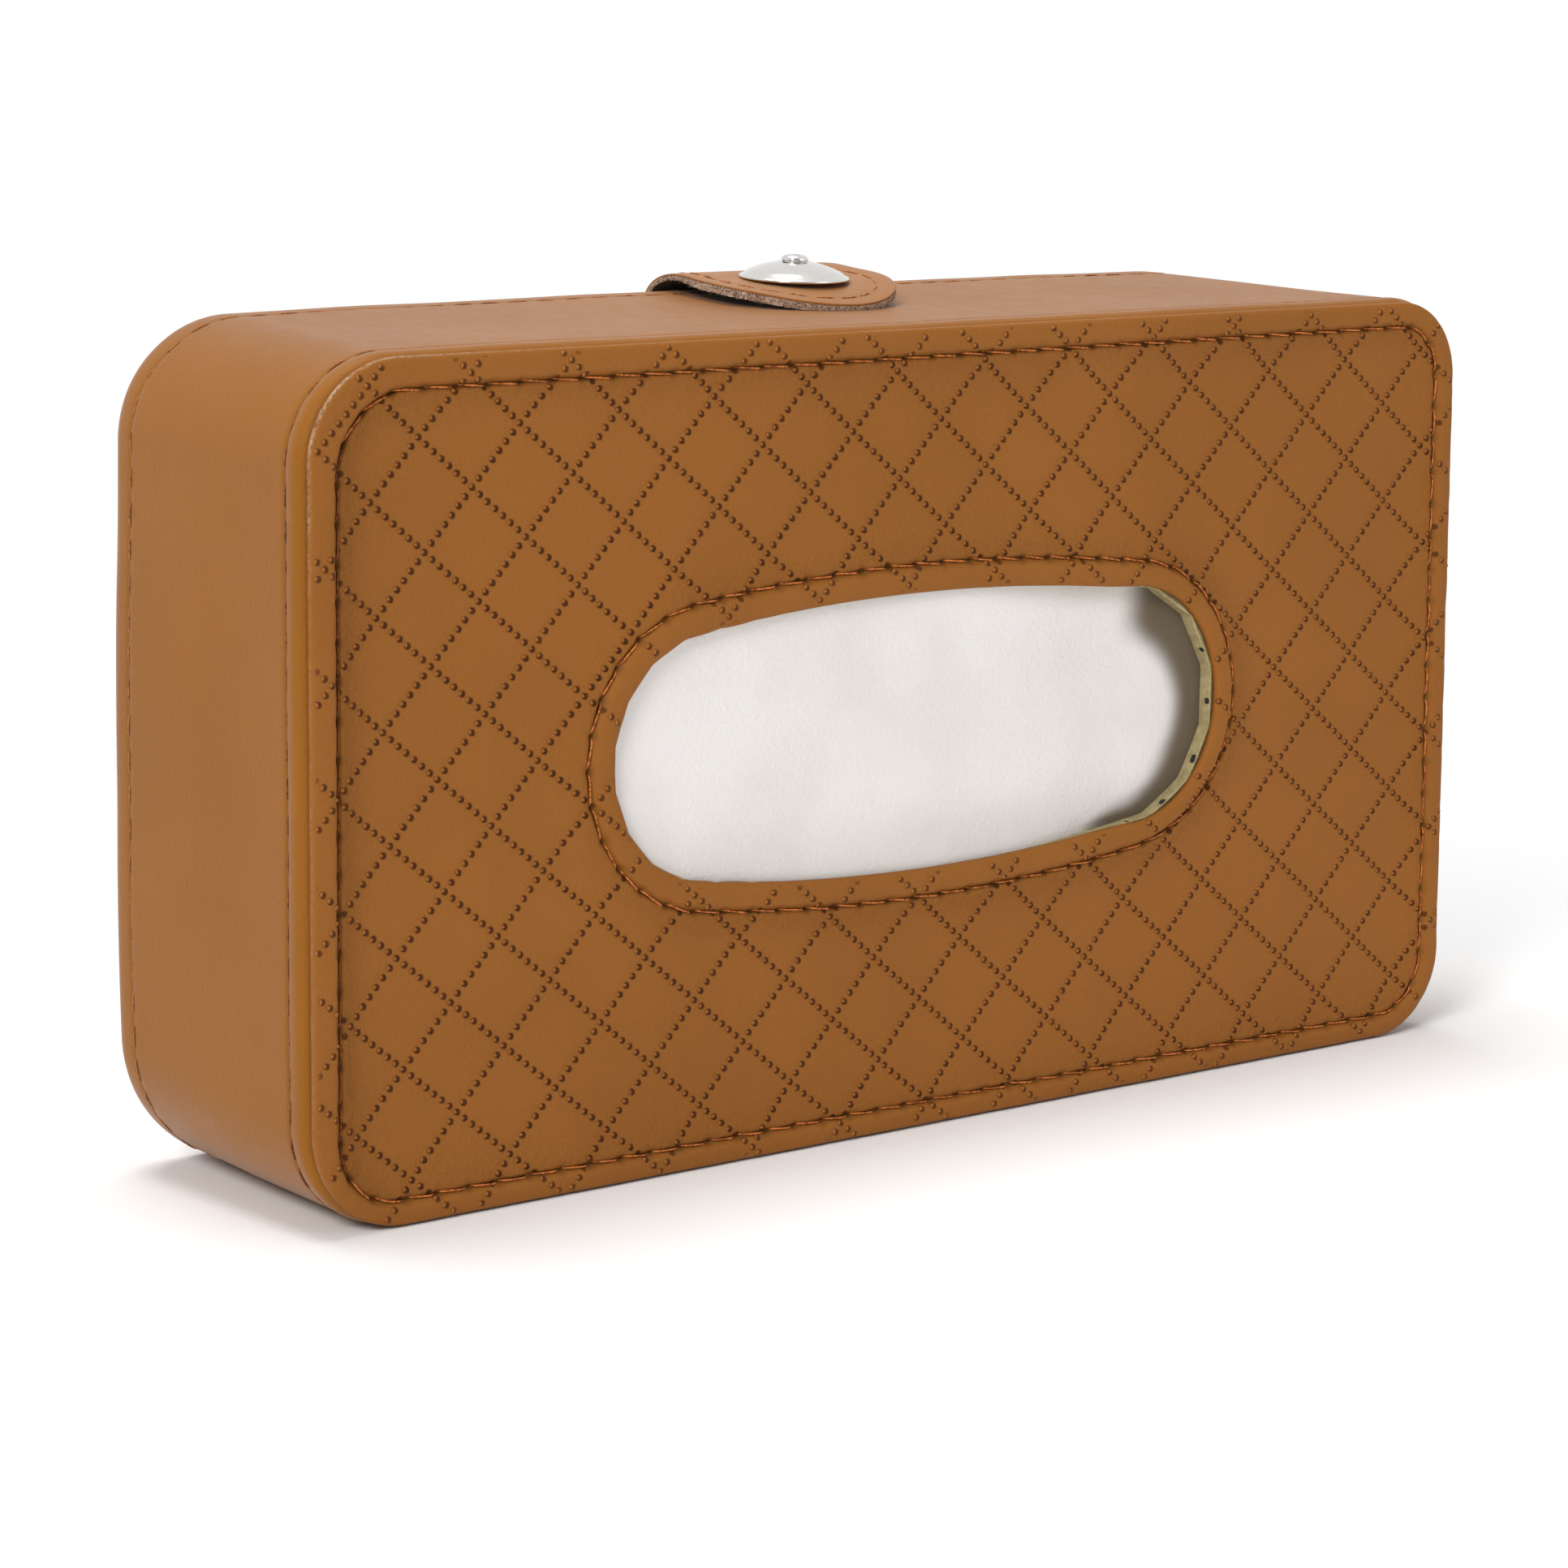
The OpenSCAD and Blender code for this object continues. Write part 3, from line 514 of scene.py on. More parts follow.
def leather(name, colour, quilted=False, grain=1.0, edged=False, bead_shade=False,
            gloss=(0.45, 0.51), ior=1.27, sheen=0.0):
    """Coated leather: soft mottling, fine pebbled grain, a satin coat. Quilted leather also has the
    hollows beside the beads, with a painted shadow in each, edged leather painted shade along its
    seams (the vertex values shade) and a pale cut edge (raw), partly frayed fibres and partly a
    painted highlight, and the beads' leather has painted shade by their vertex values."""
    t = Tree(name)
    col = t.mix(t.ramp(t.noise(26.0, 3.0, 0.55), 0.35, 0.65), scaled(colour, 0.96),
                scaled(colour, 1.03))
    fine = t.noise(2600.0, 2.0, 0.6)
    col = t.mix(t.ramp(fine, 0.58, 0.74, 0.0, 0.16), col, scaled(colour, 0.6))
    speck = t.ramp(t.voronoi(260.0), 0.0, 0.035, 0.35, 0.0)
    col = t.mix(speck, col, scaled(colour, 1.6, 0.03))
    pebbles = t.voronoi(1900.0, "SMOOTH_F1")
    normal = t.bump(t.noise(700.0, 4.0, 0.6), 0.00007, 0.45 * grain)
    normal = t.bump(pebbles, 0.00010, 0.8 * grain, normal)
    rough = t.ramp(t.noise(300.0, 3.0, 0.6), 0.3, 0.7, *gloss)
    if quilted:
        hollow_shadow = bead_hollow_shadows(t)
        # painted shadow: each hollow is darkened on the bead's side away from the light
        col = t.mix(hollow_shadow, col, srgb(58, 27, 9))
        normal = t.bump(t.math("SUBTRACT", 1.0, hollow_shadow), 0.00016, 0.7, normal)
        wrinkles = t.math("MULTIPLY", t.noise(800.0, 5.0, 0.7), t.attribute("crease"))
        normal = t.bump(wrinkles, 0.0007, 0.9, normal)
    if edged:
        # painted shade by the vertex values shade: in seam grooves, stitch holes and beside raised
        # strips
        col = t.mix(t.attribute("shade"), col, scaled(colour, 0.38))
    if bead_shade:
        # painted shade over most of each bead, darkest on its side away from the light
        col = t.mix(t.ramp(t.attribute("bead_shade"), 0.12, 0.80, 0.0, 0.9), col, srgb(70, 29, 4))
    if edged:
        # pale cut edge: partly its frayed fibres, partly a painted highlight where it catches the
        # light
        fibre = t.noise(1500.0, 4.0, 0.7)
        pale = t.mix(t.ramp(fibre, 0.35, 0.62), srgb(96, 66, 42), srgb(184, 154, 124))
        patchy = t.ramp(t.noise(210.0, 3.0, 0.6), 0.34, 0.58, 0.35, 1.0)
        col = t.mix(t.math("MULTIPLY", t.attribute("raw"), patchy), col, pale)
    return t.finish(Base_Color=col, Roughness=rough, Normal=normal, IOR=ior,
                    Sheen_Weight=sheen, Sheen_Roughness=0.45)


def thread(name, lit, dark):
    t = Tree(name)
    col = t.mix(t.ramp(t.noise(1400.0, 3.0, 0.6), 0.32, 0.62), srgb(*dark), srgb(*lit))
    fibres = t.noise(6000.0, 2.0, 0.6)
    return t.finish(Base_Color=col, Roughness=0.62, Normal=t.bump(fibres, 0.00003, 0.5),
                    IOR=1.30, Sheen_Weight=0.05, Sheen_Roughness=0.4)


def raw_edge():
    """Felted backing: short grey-brown fibres, dark between them, and painted shade on its
    underside (the vertex values under).
    """
    t = Tree("raw_edge")
    f = t.noise(3300.0, 5.0, 0.8)
    g = t.noise(420.0, 3.0, 0.6)
    col = t.mix(t.ramp(f, 0.40, 0.57), srgb(52, 33, 22), srgb(232, 200, 174))
    col = t.mix(t.ramp(g, 0.46, 0.66, 0.0, 0.45), col, srgb(112, 80, 56))
    # painted shade on the strap's underside, which faces down away from the light
    col = t.mix(t.math("MULTIPLY", t.attribute("under"), 0.9), col, srgb(34, 22, 14))
    return t.finish(Base_Color=col, Roughness=0.92, Normal=t.bump(f, 0.0003, 0.9),
                    Sheen_Weight=0.04, Sheen_Roughness=0.5)


def greyboard(name, inked=False):
    t = Tree(name)
    f = t.noise(700.0, 4.0, 0.6)
    col = t.mix(t.ramp(f, 0.3, 0.7), srgb(150, 134, 92), srgb(178, 162, 118))
    if inked:
        blot = t.math("ADD", t.attribute("ink"), t.math("MULTIPLY", t.noise(1500.0, 2.0, 0.6), 0.5))
        col = t.mix(t.ramp(blot, 0.62, 0.80), col, srgb(34, 33, 36))
    return t.finish(Base_Color=col, Roughness=0.85, Normal=t.bump(f, 0.0002, 0.6))


def cloth(name, colour):
    t = Tree(name)
    wave = [t.node("TexWave", props={"bands_direction": d}, Vector=t.place,
                   Scale=420.0, Distortion=0.6, Detail=1.0) for d in ("X", "Y", "Z")]
    weave = t.math("MULTIPLY", t.math("ADD", wave[0], wave[1]), t.math("ADD", wave[2], 0.4))
    col = t.mix(t.ramp(weave, 0.2, 1.4), scaled(colour, 0.6), colour)
    return t.finish(Base_Color=col, Roughness=0.9, Normal=t.bump(weave, 0.00012, 0.6),
                    Sheen_Weight=0.3)


def tissue():
    """Soft tissue paper with a fine embossed grain. The pack's sides show its sheets, with painted
    shade in the gaps between them, and its front has painted shade by its vertex values, where it
    falls away by the slot's right end, and is a little darker low down."""
    t = Tree("tissue_paper")
    split = t.node("SeparateXYZ", Vector=t.place).node
    emboss = t.voronoi(1500.0, "SMOOTH_F1")
    crepe = t.node("TexWave", props={"bands_direction": "DIAGONAL"}, Vector=t.place,
                   Scale=190.0, Distortion=3.0, Detail=2.0, Detail_Scale=2.0)
    cloud = t.ramp(t.noise(40.0, 3.0, 0.5), 0.3, 0.7)
    col = t.mix(cloud, srgb(222, 217, 213), srgb(231, 227, 224))
    # painted shade on the pack's front where it falls away by the slot's right end, and a little
    # darker low down
    col = t.mix(t.ramp(t.attribute("pack_shade"), 0.0, 1.0, 0.0, 0.97), col, srgb(84, 68, 40))
    normal = t.bump(emboss, 0.00016, 0.6)
    normal = t.bump(crepe, 0.00006, 0.20, normal)
    normal = t.bump(t.noise(900.0, 3.0, 0.6), 0.00012, 0.4, normal)
    # painted shade in the gaps between the sheets on the pack's sides
    sheets = t.math("FRACT", t.math("MULTIPLY", split.outputs["Y"], 2600.0))
    gap = t.math("MULTIPLY", t.ramp(sheets, 0.0, 0.28, 1.0, 0.0), t.attribute("side"))
    col = t.mix(t.math("MULTIPLY", gap, 0.45), col, srgb(140, 134, 128))
    normal = t.bump(t.math("SUBTRACT", 1.0, gap), 0.0002, 0.7, normal)
    return t.finish(Base_Color=col, Roughness=0.88, Normal=normal, Sheen_Weight=0.15)


def metal(name, colour, rough, mottle=0.04, cloudy=0.0):
    t = Tree(name)
    f = t.noise(900.0, 3.0, 0.6)
    col = t.mix(t.ramp(f, 0.3, 0.7), scaled(colour, 1 - mottle), colour)
    if cloudy:
        col = t.mix(t.ramp(t.noise(420.0, 2.0, 0.5), 0.42, 0.56), scaled(colour, 1 - cloudy), col)
    r = t.ramp(t.noise(240.0, 3.0, 0.6), 0.3, 0.7, rough * 0.85, rough * 1.2)
    return t.finish(Base_Color=col, Metallic=1.0, Roughness=r)


LEATHER = srgb(142, 88, 24)
M = SimpleNamespace(
    quilt=leather("quilted_leather", srgb(145, 91, 39), quilted=True, edged=True, ior=1.17),
    bead=leather("bead_leather", srgb(152, 96, 44), grain=0.4, bead_shade=True, gloss=(0.26, 0.34),
                 ior=1.20),
    band=leather("band_leather", LEATHER, grain=0.6, edged=True, ior=1.2, sheen=0.17),
    flap=leather("flap_leather", LEATHER, grain=0.6, sheen=0.12),
    strap=leather("strap_leather", srgb(150, 98, 48), grain=0.7, sheen=0.10),
    dark=leather("shadowed_leather", srgb(62, 34, 16)),
    thread=thread("orange_thread", (206, 120, 54), (118, 58, 20)),
    # a darker copy of the orange thread: painted shade for the left side's stitches, deep in the
    # fold
    tucked=thread("fold_shaded_thread", (150, 80, 34), (70, 34, 12)),
    tan=thread("tan_thread", (196, 128, 76), (120, 72, 38)),
    thin=thread("band_thread", (150, 88, 40), (88, 47, 19)),
    # a lighter copy of the band's thread for the rows on the top face and at the back: painted
    # light
    lit_thread=thread("lit_band_thread", (168, 108, 58), (118, 70, 34)),
    raw=raw_edge(),
    fibre=thread("loose_fibres", (206, 184, 162), (120, 94, 74)),
    board=greyboard("greyboard"),
    board_edge=greyboard("cut_board", inked=True),
    lining=cloth("lining_cloth", srgb(66, 60, 56)),
    paper=tissue(),
    steel=metal("nickel_steel", srgb(206, 206, 210), 0.28, mottle=0.09),
    cap=metal("polished_cap", srgb(214, 211, 207), 0.18),
    nub=metal("polished_nub", srgb(214, 212, 210), 0.12, cloudy=0.6),
)

# ---- front sheet
COLS = 856
FIELD_ROWS = 64
LIP_FLATS = 42  # short flats of the slot's lip, seen at its left end
RIGHT_END = 0.24  # share of the rim's width that is missing at the right end
PUCKER = 0.7  # reach of a stitch hole's dip
EDGE_M = [0, 0.02, 0.08, 0.2, 0.4, 0.75, 1.3]
EDGE_DROP = [0.62, 0.42, 0.24, 0.12, 0.04, 0.0, 0.0]
SEAM_OUT = [1.6, 1.15, 0.8, 0.55, 0.38, 0.24, 0.12, 0.0, -0.12, -0.24, -0.38, -0.6, -0.95,
            -1.5, -2.3]
RIM_OUT = [2.3, 1.5, 0.95, 0.6, 0.38, 0.24, 0.12, 0.0, -0.12, -0.24, -0.38, -0.55, -0.8, -1.15,
           -1.6, -2.4, -3.1, -3.65, -4.0, -4.23, -4.37, -4.43]
RIM_DROP = [0.03, 0.10, 0.24, 0.42, 0.70]
front_cols = outline_columns(COLS)
share = np.arange(COLS) / COLS


def slot_ring(grow):
    """The slot's oval grown by a distance: its lip has short flats at the left end, its seam
    is drawn out at the right end."""
    flat = 1 - (2 * ((share * LIP_FLATS + 0.5) % 1.0) - 1) ** 2
    at_left = smoothstep(0.55, 0.85, -np.cos(2 * pi * share))
    grow = RIM_S + (grow - RIM_S) * (1 - RIGHT_END * at_right(share) * (grow < RIM_S))
    grow = grow - 0.28 * flat * at_left * np.clip(1 - grow / 2.5, 0, 1)
    xz = slot_points(share, grow)
    pulled = smoothstep(36.0, 58.0, xz[:, 0]) * np.clip(grow / RIM_S, 0, 1)
    return xz + pulled[:, None] * SEAM_PULL


def seam_row(ring, pitch, seed):
    """A thread's row in the front sheet: its path, its stitches' middles and their step."""
    row, length = sample_path(at_level(ring, TOP_F - 0.66), np.tile([0, -1, 0], (COLS, 1)))
    return row, *stitch_places(length, pitch, seed)


rings = [SHEET.ring(front_cols, -m) for m in EDGE_M]
outer_seam = SEAM.ring(front_cols, SEAM_OUT[0])
rings += [rings[6] * (1 - w) + outer_seam * w for w in (0.35, 0.7)]
rings += [SEAM.ring(front_cols, k) for k in SEAM_OUT]
a, b = rings[-1], slot_ring(RIM_S + RIM_OUT[0])
rings += [a + (b - a) * k / FIELD_ROWS for k in range(1, FIELD_ROWS)]
rings += [slot_ring(RIM_S + k) for k in RIM_OUT]
drops = EDGE_DROP + [0.0] * (len(rings) - len(EDGE_DROP) - len(RIM_DROP)) + RIM_DROP
gx, gz = np.moveaxis(np.array(rings), -1, 0)
level = front_level(gx, gz) - np.array(drops)[:, None]

front_row, front_at, front_step = seam_row(SEAM.ring(front_cols, 0), 5.5, 3)
slot_row, slot_at, slot_step = seam_row(slot_ring(RIM_S), 5.4, 4)
dip = np.zeros(gx.shape)
for hx, _, hz in np.vstack([front_row(front_at + front_step / 2)[0],
                            slot_row(slot_at + slot_step / 2)[0]]):
    near = (np.abs(gx - hx) < 3 * PUCKER) & (np.abs(gz - hz) < 3 * PUCKER)
    dip[near] += np.exp(-((gx[near] - hx) ** 2 + (gz[near] - hz) ** 2) / PUCKER ** 2)
level = level - 0.40 * dip
in_field, off_slot = SEAM.inside(gx, gz), seam_distance(gx, gz) - RIM_S
on_field = (in_field > 0) & (off_slot > 0)
near_seam = np.minimum(np.abs(in_field), np.abs(off_slot))
# Painted shade: dark lines in the seams' grooves and the stitch holes' dips, and a painted shadow
# on the field beside the left seam, where the raised strip hides it from the light
painted_lee_shadow = 0.24 * bell(in_field.clip(0), 2.2) * (in_field > 0) * smoothstep(-100, -107, gx)
shade = np.clip(0.55 * bell(near_seam, 0.30) + 0.62 * dip + painted_lee_shadow, 0, 0.95)
crease = bell(near_seam, 4.5, 1.5) * np.where(on_field, 1.0, 0.2)
raw = np.zeros(gx.shape)
# pale frayed cut edge, strongest at the top-left corner, where it is also a painted highlight of
# the edge catching the light
frayed_and_lit = 0.06 + 0.90 * front_cols.w[:, 1] ** 14 + 0.10 * smoothstep(0.7, 1.0, -front_cols.dx)
raw[0:4] = frayed_and_lit * np.array([1.0, 1.0, 0.6, 0.15])[:, None]
free = smoothstep(0.55, 0.95, np.minimum(SHEET.inside(gx, gz), slot_distance(gx, gz)))
free = free * np.where(on_field, 1.0, 0.82)
top = np.stack([gx, -level, gz], -1)
under_rows = [len(gx) - 1, len(gx) - 18, len(gx) - 45, 40, 20, 8, 0]
under = top[under_rows].copy()
under[..., 1] = -np.minimum(level[under_rows] - 0.35, TOP_F - 1.35)
under[-1, :, 1] = -(TOP_F - 0.98)
under[0, :, 1] = -(TOP_F - 1.08)


def with_under(values, fill=0.0):
    return np.pad(values, ((0, len(under)), (0, 0)), constant_values=fill)


front_skin = piece(
    "front_skin", np.concatenate([top, under]), grid_faces(len(top) + len(under), COLS), M.quilt,
    "cover", replaces=("front_leather", "front_foam"),
    attrs={"shade": with_under(shade, 0.3), "raw": with_under(raw), "free": with_under(free),
           "crease": with_under(crease)})

# stamped beads, one dome for each imitation stitch
spots = {}
for a, b in ((E1, E2), (E2, E1)):
    for line in range(-14, 34):
        for k in range(-14 * BEADS_A_SIDE, 34 * BEADS_A_SIDE):
            q = np.array(QUILT_AT) + a * k / BEADS_A_SIDE + b * line
            if abs(q[0]) <= 115 and 0 < q[1] < 126:
                key = (round(float(q[0]), 2), round(float(q[1]), 2))
                spots.setdefault(key, (q[0], q[1], atan2(a[1], a[0])))
x, z, turn = np.array(list(spots.values())).T
in_sheet, in_field, off_seam = SHEET.inside(x, z), SEAM.inside(x, z), seam_distance(x, z) - RIM_S
keep = (in_sheet > 0.62) & (slot_distance(x, z) > 0.85)
keep &= (np.abs(in_field) > 0.55) & (np.abs(off_seam) > 0.55)
on_strip = ((in_field < 0) | (off_seam < 0))[keep]
turn, count = turn[keep], int(keep.sum())
x, z = np.stack([x[keep], z[keep]]) + rng.normal(0, 0.035, (count, 2)).T
base = front_level(x, z) - np.interp(in_sheet[keep], EDGE_M, EDGE_DROP)
tall = rng.uniform(0.35, 0.43, count) * np.where(on_strip, 0.85, 1.0)
size = rng.uniform(0.92, 1.08, count)
ring_r, ring_h = np.array([1.0, 0.97, 0.80, 0.46]), np.array([-0.35, 0.30, 0.72, 0.95])
SIDES = 10
th = round_angles(SIDES)
lump = rng.uniform(0, 2 * pi, (3, count, 1))
lump = 1 + sum(k * np.cos(m * th + v) for k, m, v in zip((0.10, 0.08, 0.04), (2, 3, 5), lump))
facing = th + turn[:, None] + rng.normal(0, 0.22, (count, 1))
along = ring_r[:, None] * (lump * np.cos(th))[:, None] * 0.36
across = ring_r[:, None] * (lump * np.sin(th))[:, None] * 0.42
x, z, turn, base, tall, size = (v[:, None, None] for v in (x, z, turn, base, tall, size))
vx = x + size * (along * np.cos(turn) - across * np.sin(turn))
vz = z + size * (along * np.sin(turn) + across * np.cos(turn))
vf = base + tall * ring_h[:, None] + 0 * vx
tips = [np.stack([x, -(base + k * tall), z], -1)[:, 0] for k in (1, -0.35)]
bead = np.concatenate([np.stack([vx, -vf, vz], -1).reshape(count, -1, 3)] + tips, 1)
each = 4 * SIDES + 2
k = np.arange(SIDES)
# painted shade on the beads: darkest on the side away from the light, less on the strips
calm = np.where(on_strip, 0.60, 0.78)
lee = (0.95 * np.cos(facing) - 0.30 * np.sin(facing))[:, None]
lee = calm[:, None, None] + 0.80 * ring_r[:, None] * lee
faces = grid_faces(4, SIDES, False)[:, ::-1], fan(3 * SIDES + k, each - 2, True), fan(k, each - 1)
piece("quilt_beads", bead, [tile(f, each, count) for f in faces], M.bead, "cover",
      attrs={"bead_shade": np.c_[lee.reshape(count, -1), calm, calm].clip(0.1, 1)})

# stitch rows of the front
tucked = front_row(front_at)[0][:, 0] < -108.0  # the left side's, deep in the fold
stitches("front_stitches", front_row, front_at[~tucked], front_step * 0.88, 0.175,
         (0.15, 0.58, 0.20), 5, M.thread, replaces=("front_thread",), rings=26, sides=8)
# these stitches get the darker thread, painted shade of the fold
stitches("front_stitches_left", front_row, front_at[tucked], front_step * 0.84, 0.13,
         (0.02, 0.45, 0.12), 7, M.tucked, rings=26, sides=8)
stitches("slot_stitches", slot_row, slot_at, slot_step * 0.88, 0.175, (0.15, 0.58, 0.20), 6,
         M.thread, replaces=("slot_thread",), rings=26, sides=8)
stitch_holes("front_stitch_holes", front_row, front_at + front_step / 2)
stitch_holes("slot_stitch_holes", slot_row, slot_at + slot_step / 2)

# ---- band
BAND_COLS = 900
THICK = 1.2
cols = outline_columns(BAND_COLS)


def groove(f_at, depth):
    offs = (-1.6, -0.9, -0.55, -0.28, 0, 0.28, 0.55, 0.9, 1.6)
    return [(-depth * exp(-(o / 0.42) ** 2), f_at - o) for o in offs]


outer = [(-4.4, 26.3), (-2.6, 26.3)] + arc((-1.9, 24.4), 1.9, 90, 0, 9) + groove(ROW_F, 0.24)
outer += [(0, f) for f in np.linspace(ROW_F - 1.6, ROW_B + 1.6, 15)[1:-1]] + groove(ROW_B, 0.16)
outer += [(-0.02, -22.3), (-0.12, -23.1), (-0.32, -23.8), (-0.62, -24.4), (-1.0, -24.9),
          (-1.45, -25.2), (-1.9, -25.25), (-2.25, -25.0), (-2.45, -24.5), (-2.5, -23.5),
          (-2.9, -23.15), (-4.0, -23.15)]
profile = outer + [(-4.0, -14.2), (-3.2, -14.2), (-3.2, -21.9), (-2.2, -22.0), (-THICK, -21.0),
                   (-THICK, 0), (-THICK, 22.0), (-THICK, 24.2), (-2.0, 25.1), (-4.4, 25.1)]
band = sweep(cols, profile)
bx, by, bz = np.moveaxis(band, -1, 0)
row = np.arange(len(profile))[:, None]
swell = waves(bx + bz, by * 1.5, 60, 21) * 0.08 + waves(bx - bz, by, 17, 22) * 0.03
swell = swell + 0.14 * bell(np.array(profile)[:, 1] - 24.0, 1.3)[:, None]
swell = np.where((row > 3) & (row < len(outer) - 3) & (bz >= 1.0), swell, 0)
lowest = bz.min()
bx += swell * cols.dx
bz[:] = np.maximum(bz + swell * cols.dz, lowest)
band_shade = np.zeros(bx.shape)
for f_at, dark in ((ROW_F, 0.50), (ROW_B, 0.28)):
    dark = dark * (1 - 0.65 * smoothstep(0.5, 0.9, cols.dz))
    band_shade[:len(outer)] += dark * bell(np.array(outer)[:, 1] - f_at, 0.32)[:, None]
piece("band_skin", band, grid_faces(len(profile), BAND_COLS), M.band, "cover",
      replaces=("band_leather",),
      attrs={"raw": np.zeros(bx.shape), "shade": np.clip(band_shade, 0, 0.8)})


def band_row(f_at, n_at, seed):
    """A row round the band: its path, its stitches' middles and their step."""
    s = np.arange(BAND_COLS) * 0.76
    p = on_cover(cols, n_at + 0.05 * waves(s, 0, 22, seed), f_at + 0.14 * waves(s, 0, 16, seed + 1))
    row, length = sample_path(p, np.stack([cols.dx, 0 * cols.dx, cols.dz], 1))
    return row, *stitch_places(length, 5.2, seed + 2)


row, at, step = band_row(ROW_F, -0.18, 31)
x, _, z = row(at)[0].T
on_top = (z > 122) & (np.abs(x) < 98)
# the front row's stitches on the top face get the lighter thread, painted light from above
stitches("band_front_stitches", row, at[~on_top], step * 0.80, 0.17, (0.07, 0.35, 0.06), 34,
         M.thin, replaces=("band_front_thread",))
stitches("band_front_stitches_top", row, at[on_top], step * 0.80, 0.13, (0.02, 0.35, 0.06), 36,
         M.lit_thread)
row, at, step = band_row(ROW_B, -0.12, 35)
x, _, z = row(at)[0].T
at_hinge = (z < 2) & (np.abs(x) < 94)
stitches("band_back_stitches", row, at[~at_hinge], step * 0.80, 0.17, (0.07, 0.35, 0.06), 38,
         M.lit_thread, replaces=("band_back_thread",))

few = outline_columns(240)
for name, prof, material, slot, node in (
        ("band_board_inner", [(-THICK, 22.6), (-THICK, -21.0), (-2.0, -21.9), (-3.2, -21.9),
                              (-3.2, 22.6)], M.board, "board", "band_board"),
        ("band_cloth", [(-3.2, 22.3), (-3.2, -14.0), (-3.6, -14.0), (-3.6, 22.3)], M.lining,
         "lining", "band_lining")):
    piece(name, sweep(few, prof), grid_faces(len(prof), 240), material, "cover",
          replaces=(node,), smooth=False)

# ---- front board with its cut edge
FACETS = 31  # of the knife's cut round the slot
INK = ((60.2, 71.0, 0.50), (61.8, 61.7, 0.60), (58.6, 51.9, 0.88), (50.7, 45.7, 0.78),
       (42.7, 43.2, 0.3), (-56.0, 53.0, 0.3), (-20.0, 84.5, 0.3))       # x, z, radius
share = np.arange(BAND_COLS) / BAND_COLS
step_at = share * FACETS + 0.5
corner = np.floor(step_at)
cut, cut_next = (slot_points(v, 0.15 + 0.95 * at_right(v))
                 for v in ((corner - 0.5) / FACETS, (corner + 0.5) / FACETS))
cut = cut + (cut_next - cut) * (step_at - corner)[:, None]
cut = cut + 0.07 * np.stack([waves(share * 400, 0, 9, seed) for seed in (41, 42)], 1)
outward = unit(cut - SLOT_MID)
rings = [at_level(cut + outward * grow, lev) for grow, lev in (
    (3.4, 25.28), (1.8, 25.8), (0.35, 26.3), (0.04, 26.2), (0.0, 25.6), (0.03, 24.9),
    (0.10, 22.95), (0.35, 22.8))]
rings += [at_level(SHEET.ring(cols, -2.4), lev) for lev in (22.8, 25.28)]
ink = np.zeros((len(rings), BAND_COLS))
for x, z, radius in INK:
    hit = cut[np.argmin(np.hypot(*(cut - (x, z)).T))]
    ink[3:5] = np.maximum(ink[3:5], 0.9 * bell(np.hypot(*(cut - hit).T), radius))
piece("front_board_cut", np.array(rings), grid_faces(len(rings), BAND_COLS), M.board_edge,
      "cover", replaces=("front_board",), attrs={"ink": ink}, angle=35)

# ---- tissues
PACK_BACK, PACK_EDGE = -21.5, 21.0  # levels of the pack's back and of its front edges
PACK_COLS = 720
LAYERS = 36
PACK_ROLL = 7.0  # radius that the pack's front edges are rounded to
PACK_IN = (0.0, 0.15, 0.45, 1.0, 2.0, 3.6, 6.0)
SLOT_OUT = (6.0, 3.0, 1.5, 0.8, 0.45, 0.30, 0.2, 0.1, 0.02, -0.15, -0.4, -0.7, -1.1, -1.6, -2.2,
            -2.9, -3.7, -4.6, -5.6, -6.8, -8.2, -9.8, -11.6, -13.5, -15.5, -17.2)
pack_cols = outline_columns(PACK_COLS)
share = np.arange(PACK_COLS) / PACK_COLS


def pack_front(x, z, d):
    """Level of the pack's front at a distance d inside the board's cut edge, and its painted shade:
    in the corner by the right end, from which it falls away, and a little darker low down."""
    up = z - SLOT_MID[1]
    crown = (1 - (x / 99.4) ** 2) * (1 - ((z - 58.4) / 54) ** 2)
    away = smoothstep(12, 40, x + 0.25 * up) * (1 - smoothstep(68, 84, x))
    swell = 3.7 + 0.35 * (1 - smoothstep(0.0, 6.0, d)) * (1 - away)
    swell = swell - (0.6 + 0.8 * np.clip(1 - d / 10, 0, 1) ** 1.8) * away
    level = PACK_EDGE + 1.1 * crown + swell * smoothstep(-0.30, -0.03, d)
    level = level + 0.05 * waves(x, z, 30, 51)
    roll = np.clip(1 - PACK.inside(x, z) / PACK_ROLL, 0, 1)
    level = level - 0.7 * PACK_ROLL * (1 - np.sqrt(1 - roll ** 2))
    reach = np.interp(up, (-21, -18, -15, -8, 0, 15), (1.5, 3.0, 5.5, 8.6, 9.2, 13.5))
    # painted shade where the pack falls away by the right end
    dark = away * (1 - smoothstep(0.28, 1.0, d / reach))
    dark = dark * smoothstep(0.0, 12.0, x - 33.5 - 0.3 * up)
    low = 0.26 * (1 - smoothstep(-20, -4, up))
    return level, np.maximum(dark, low) * (d > -0.2)


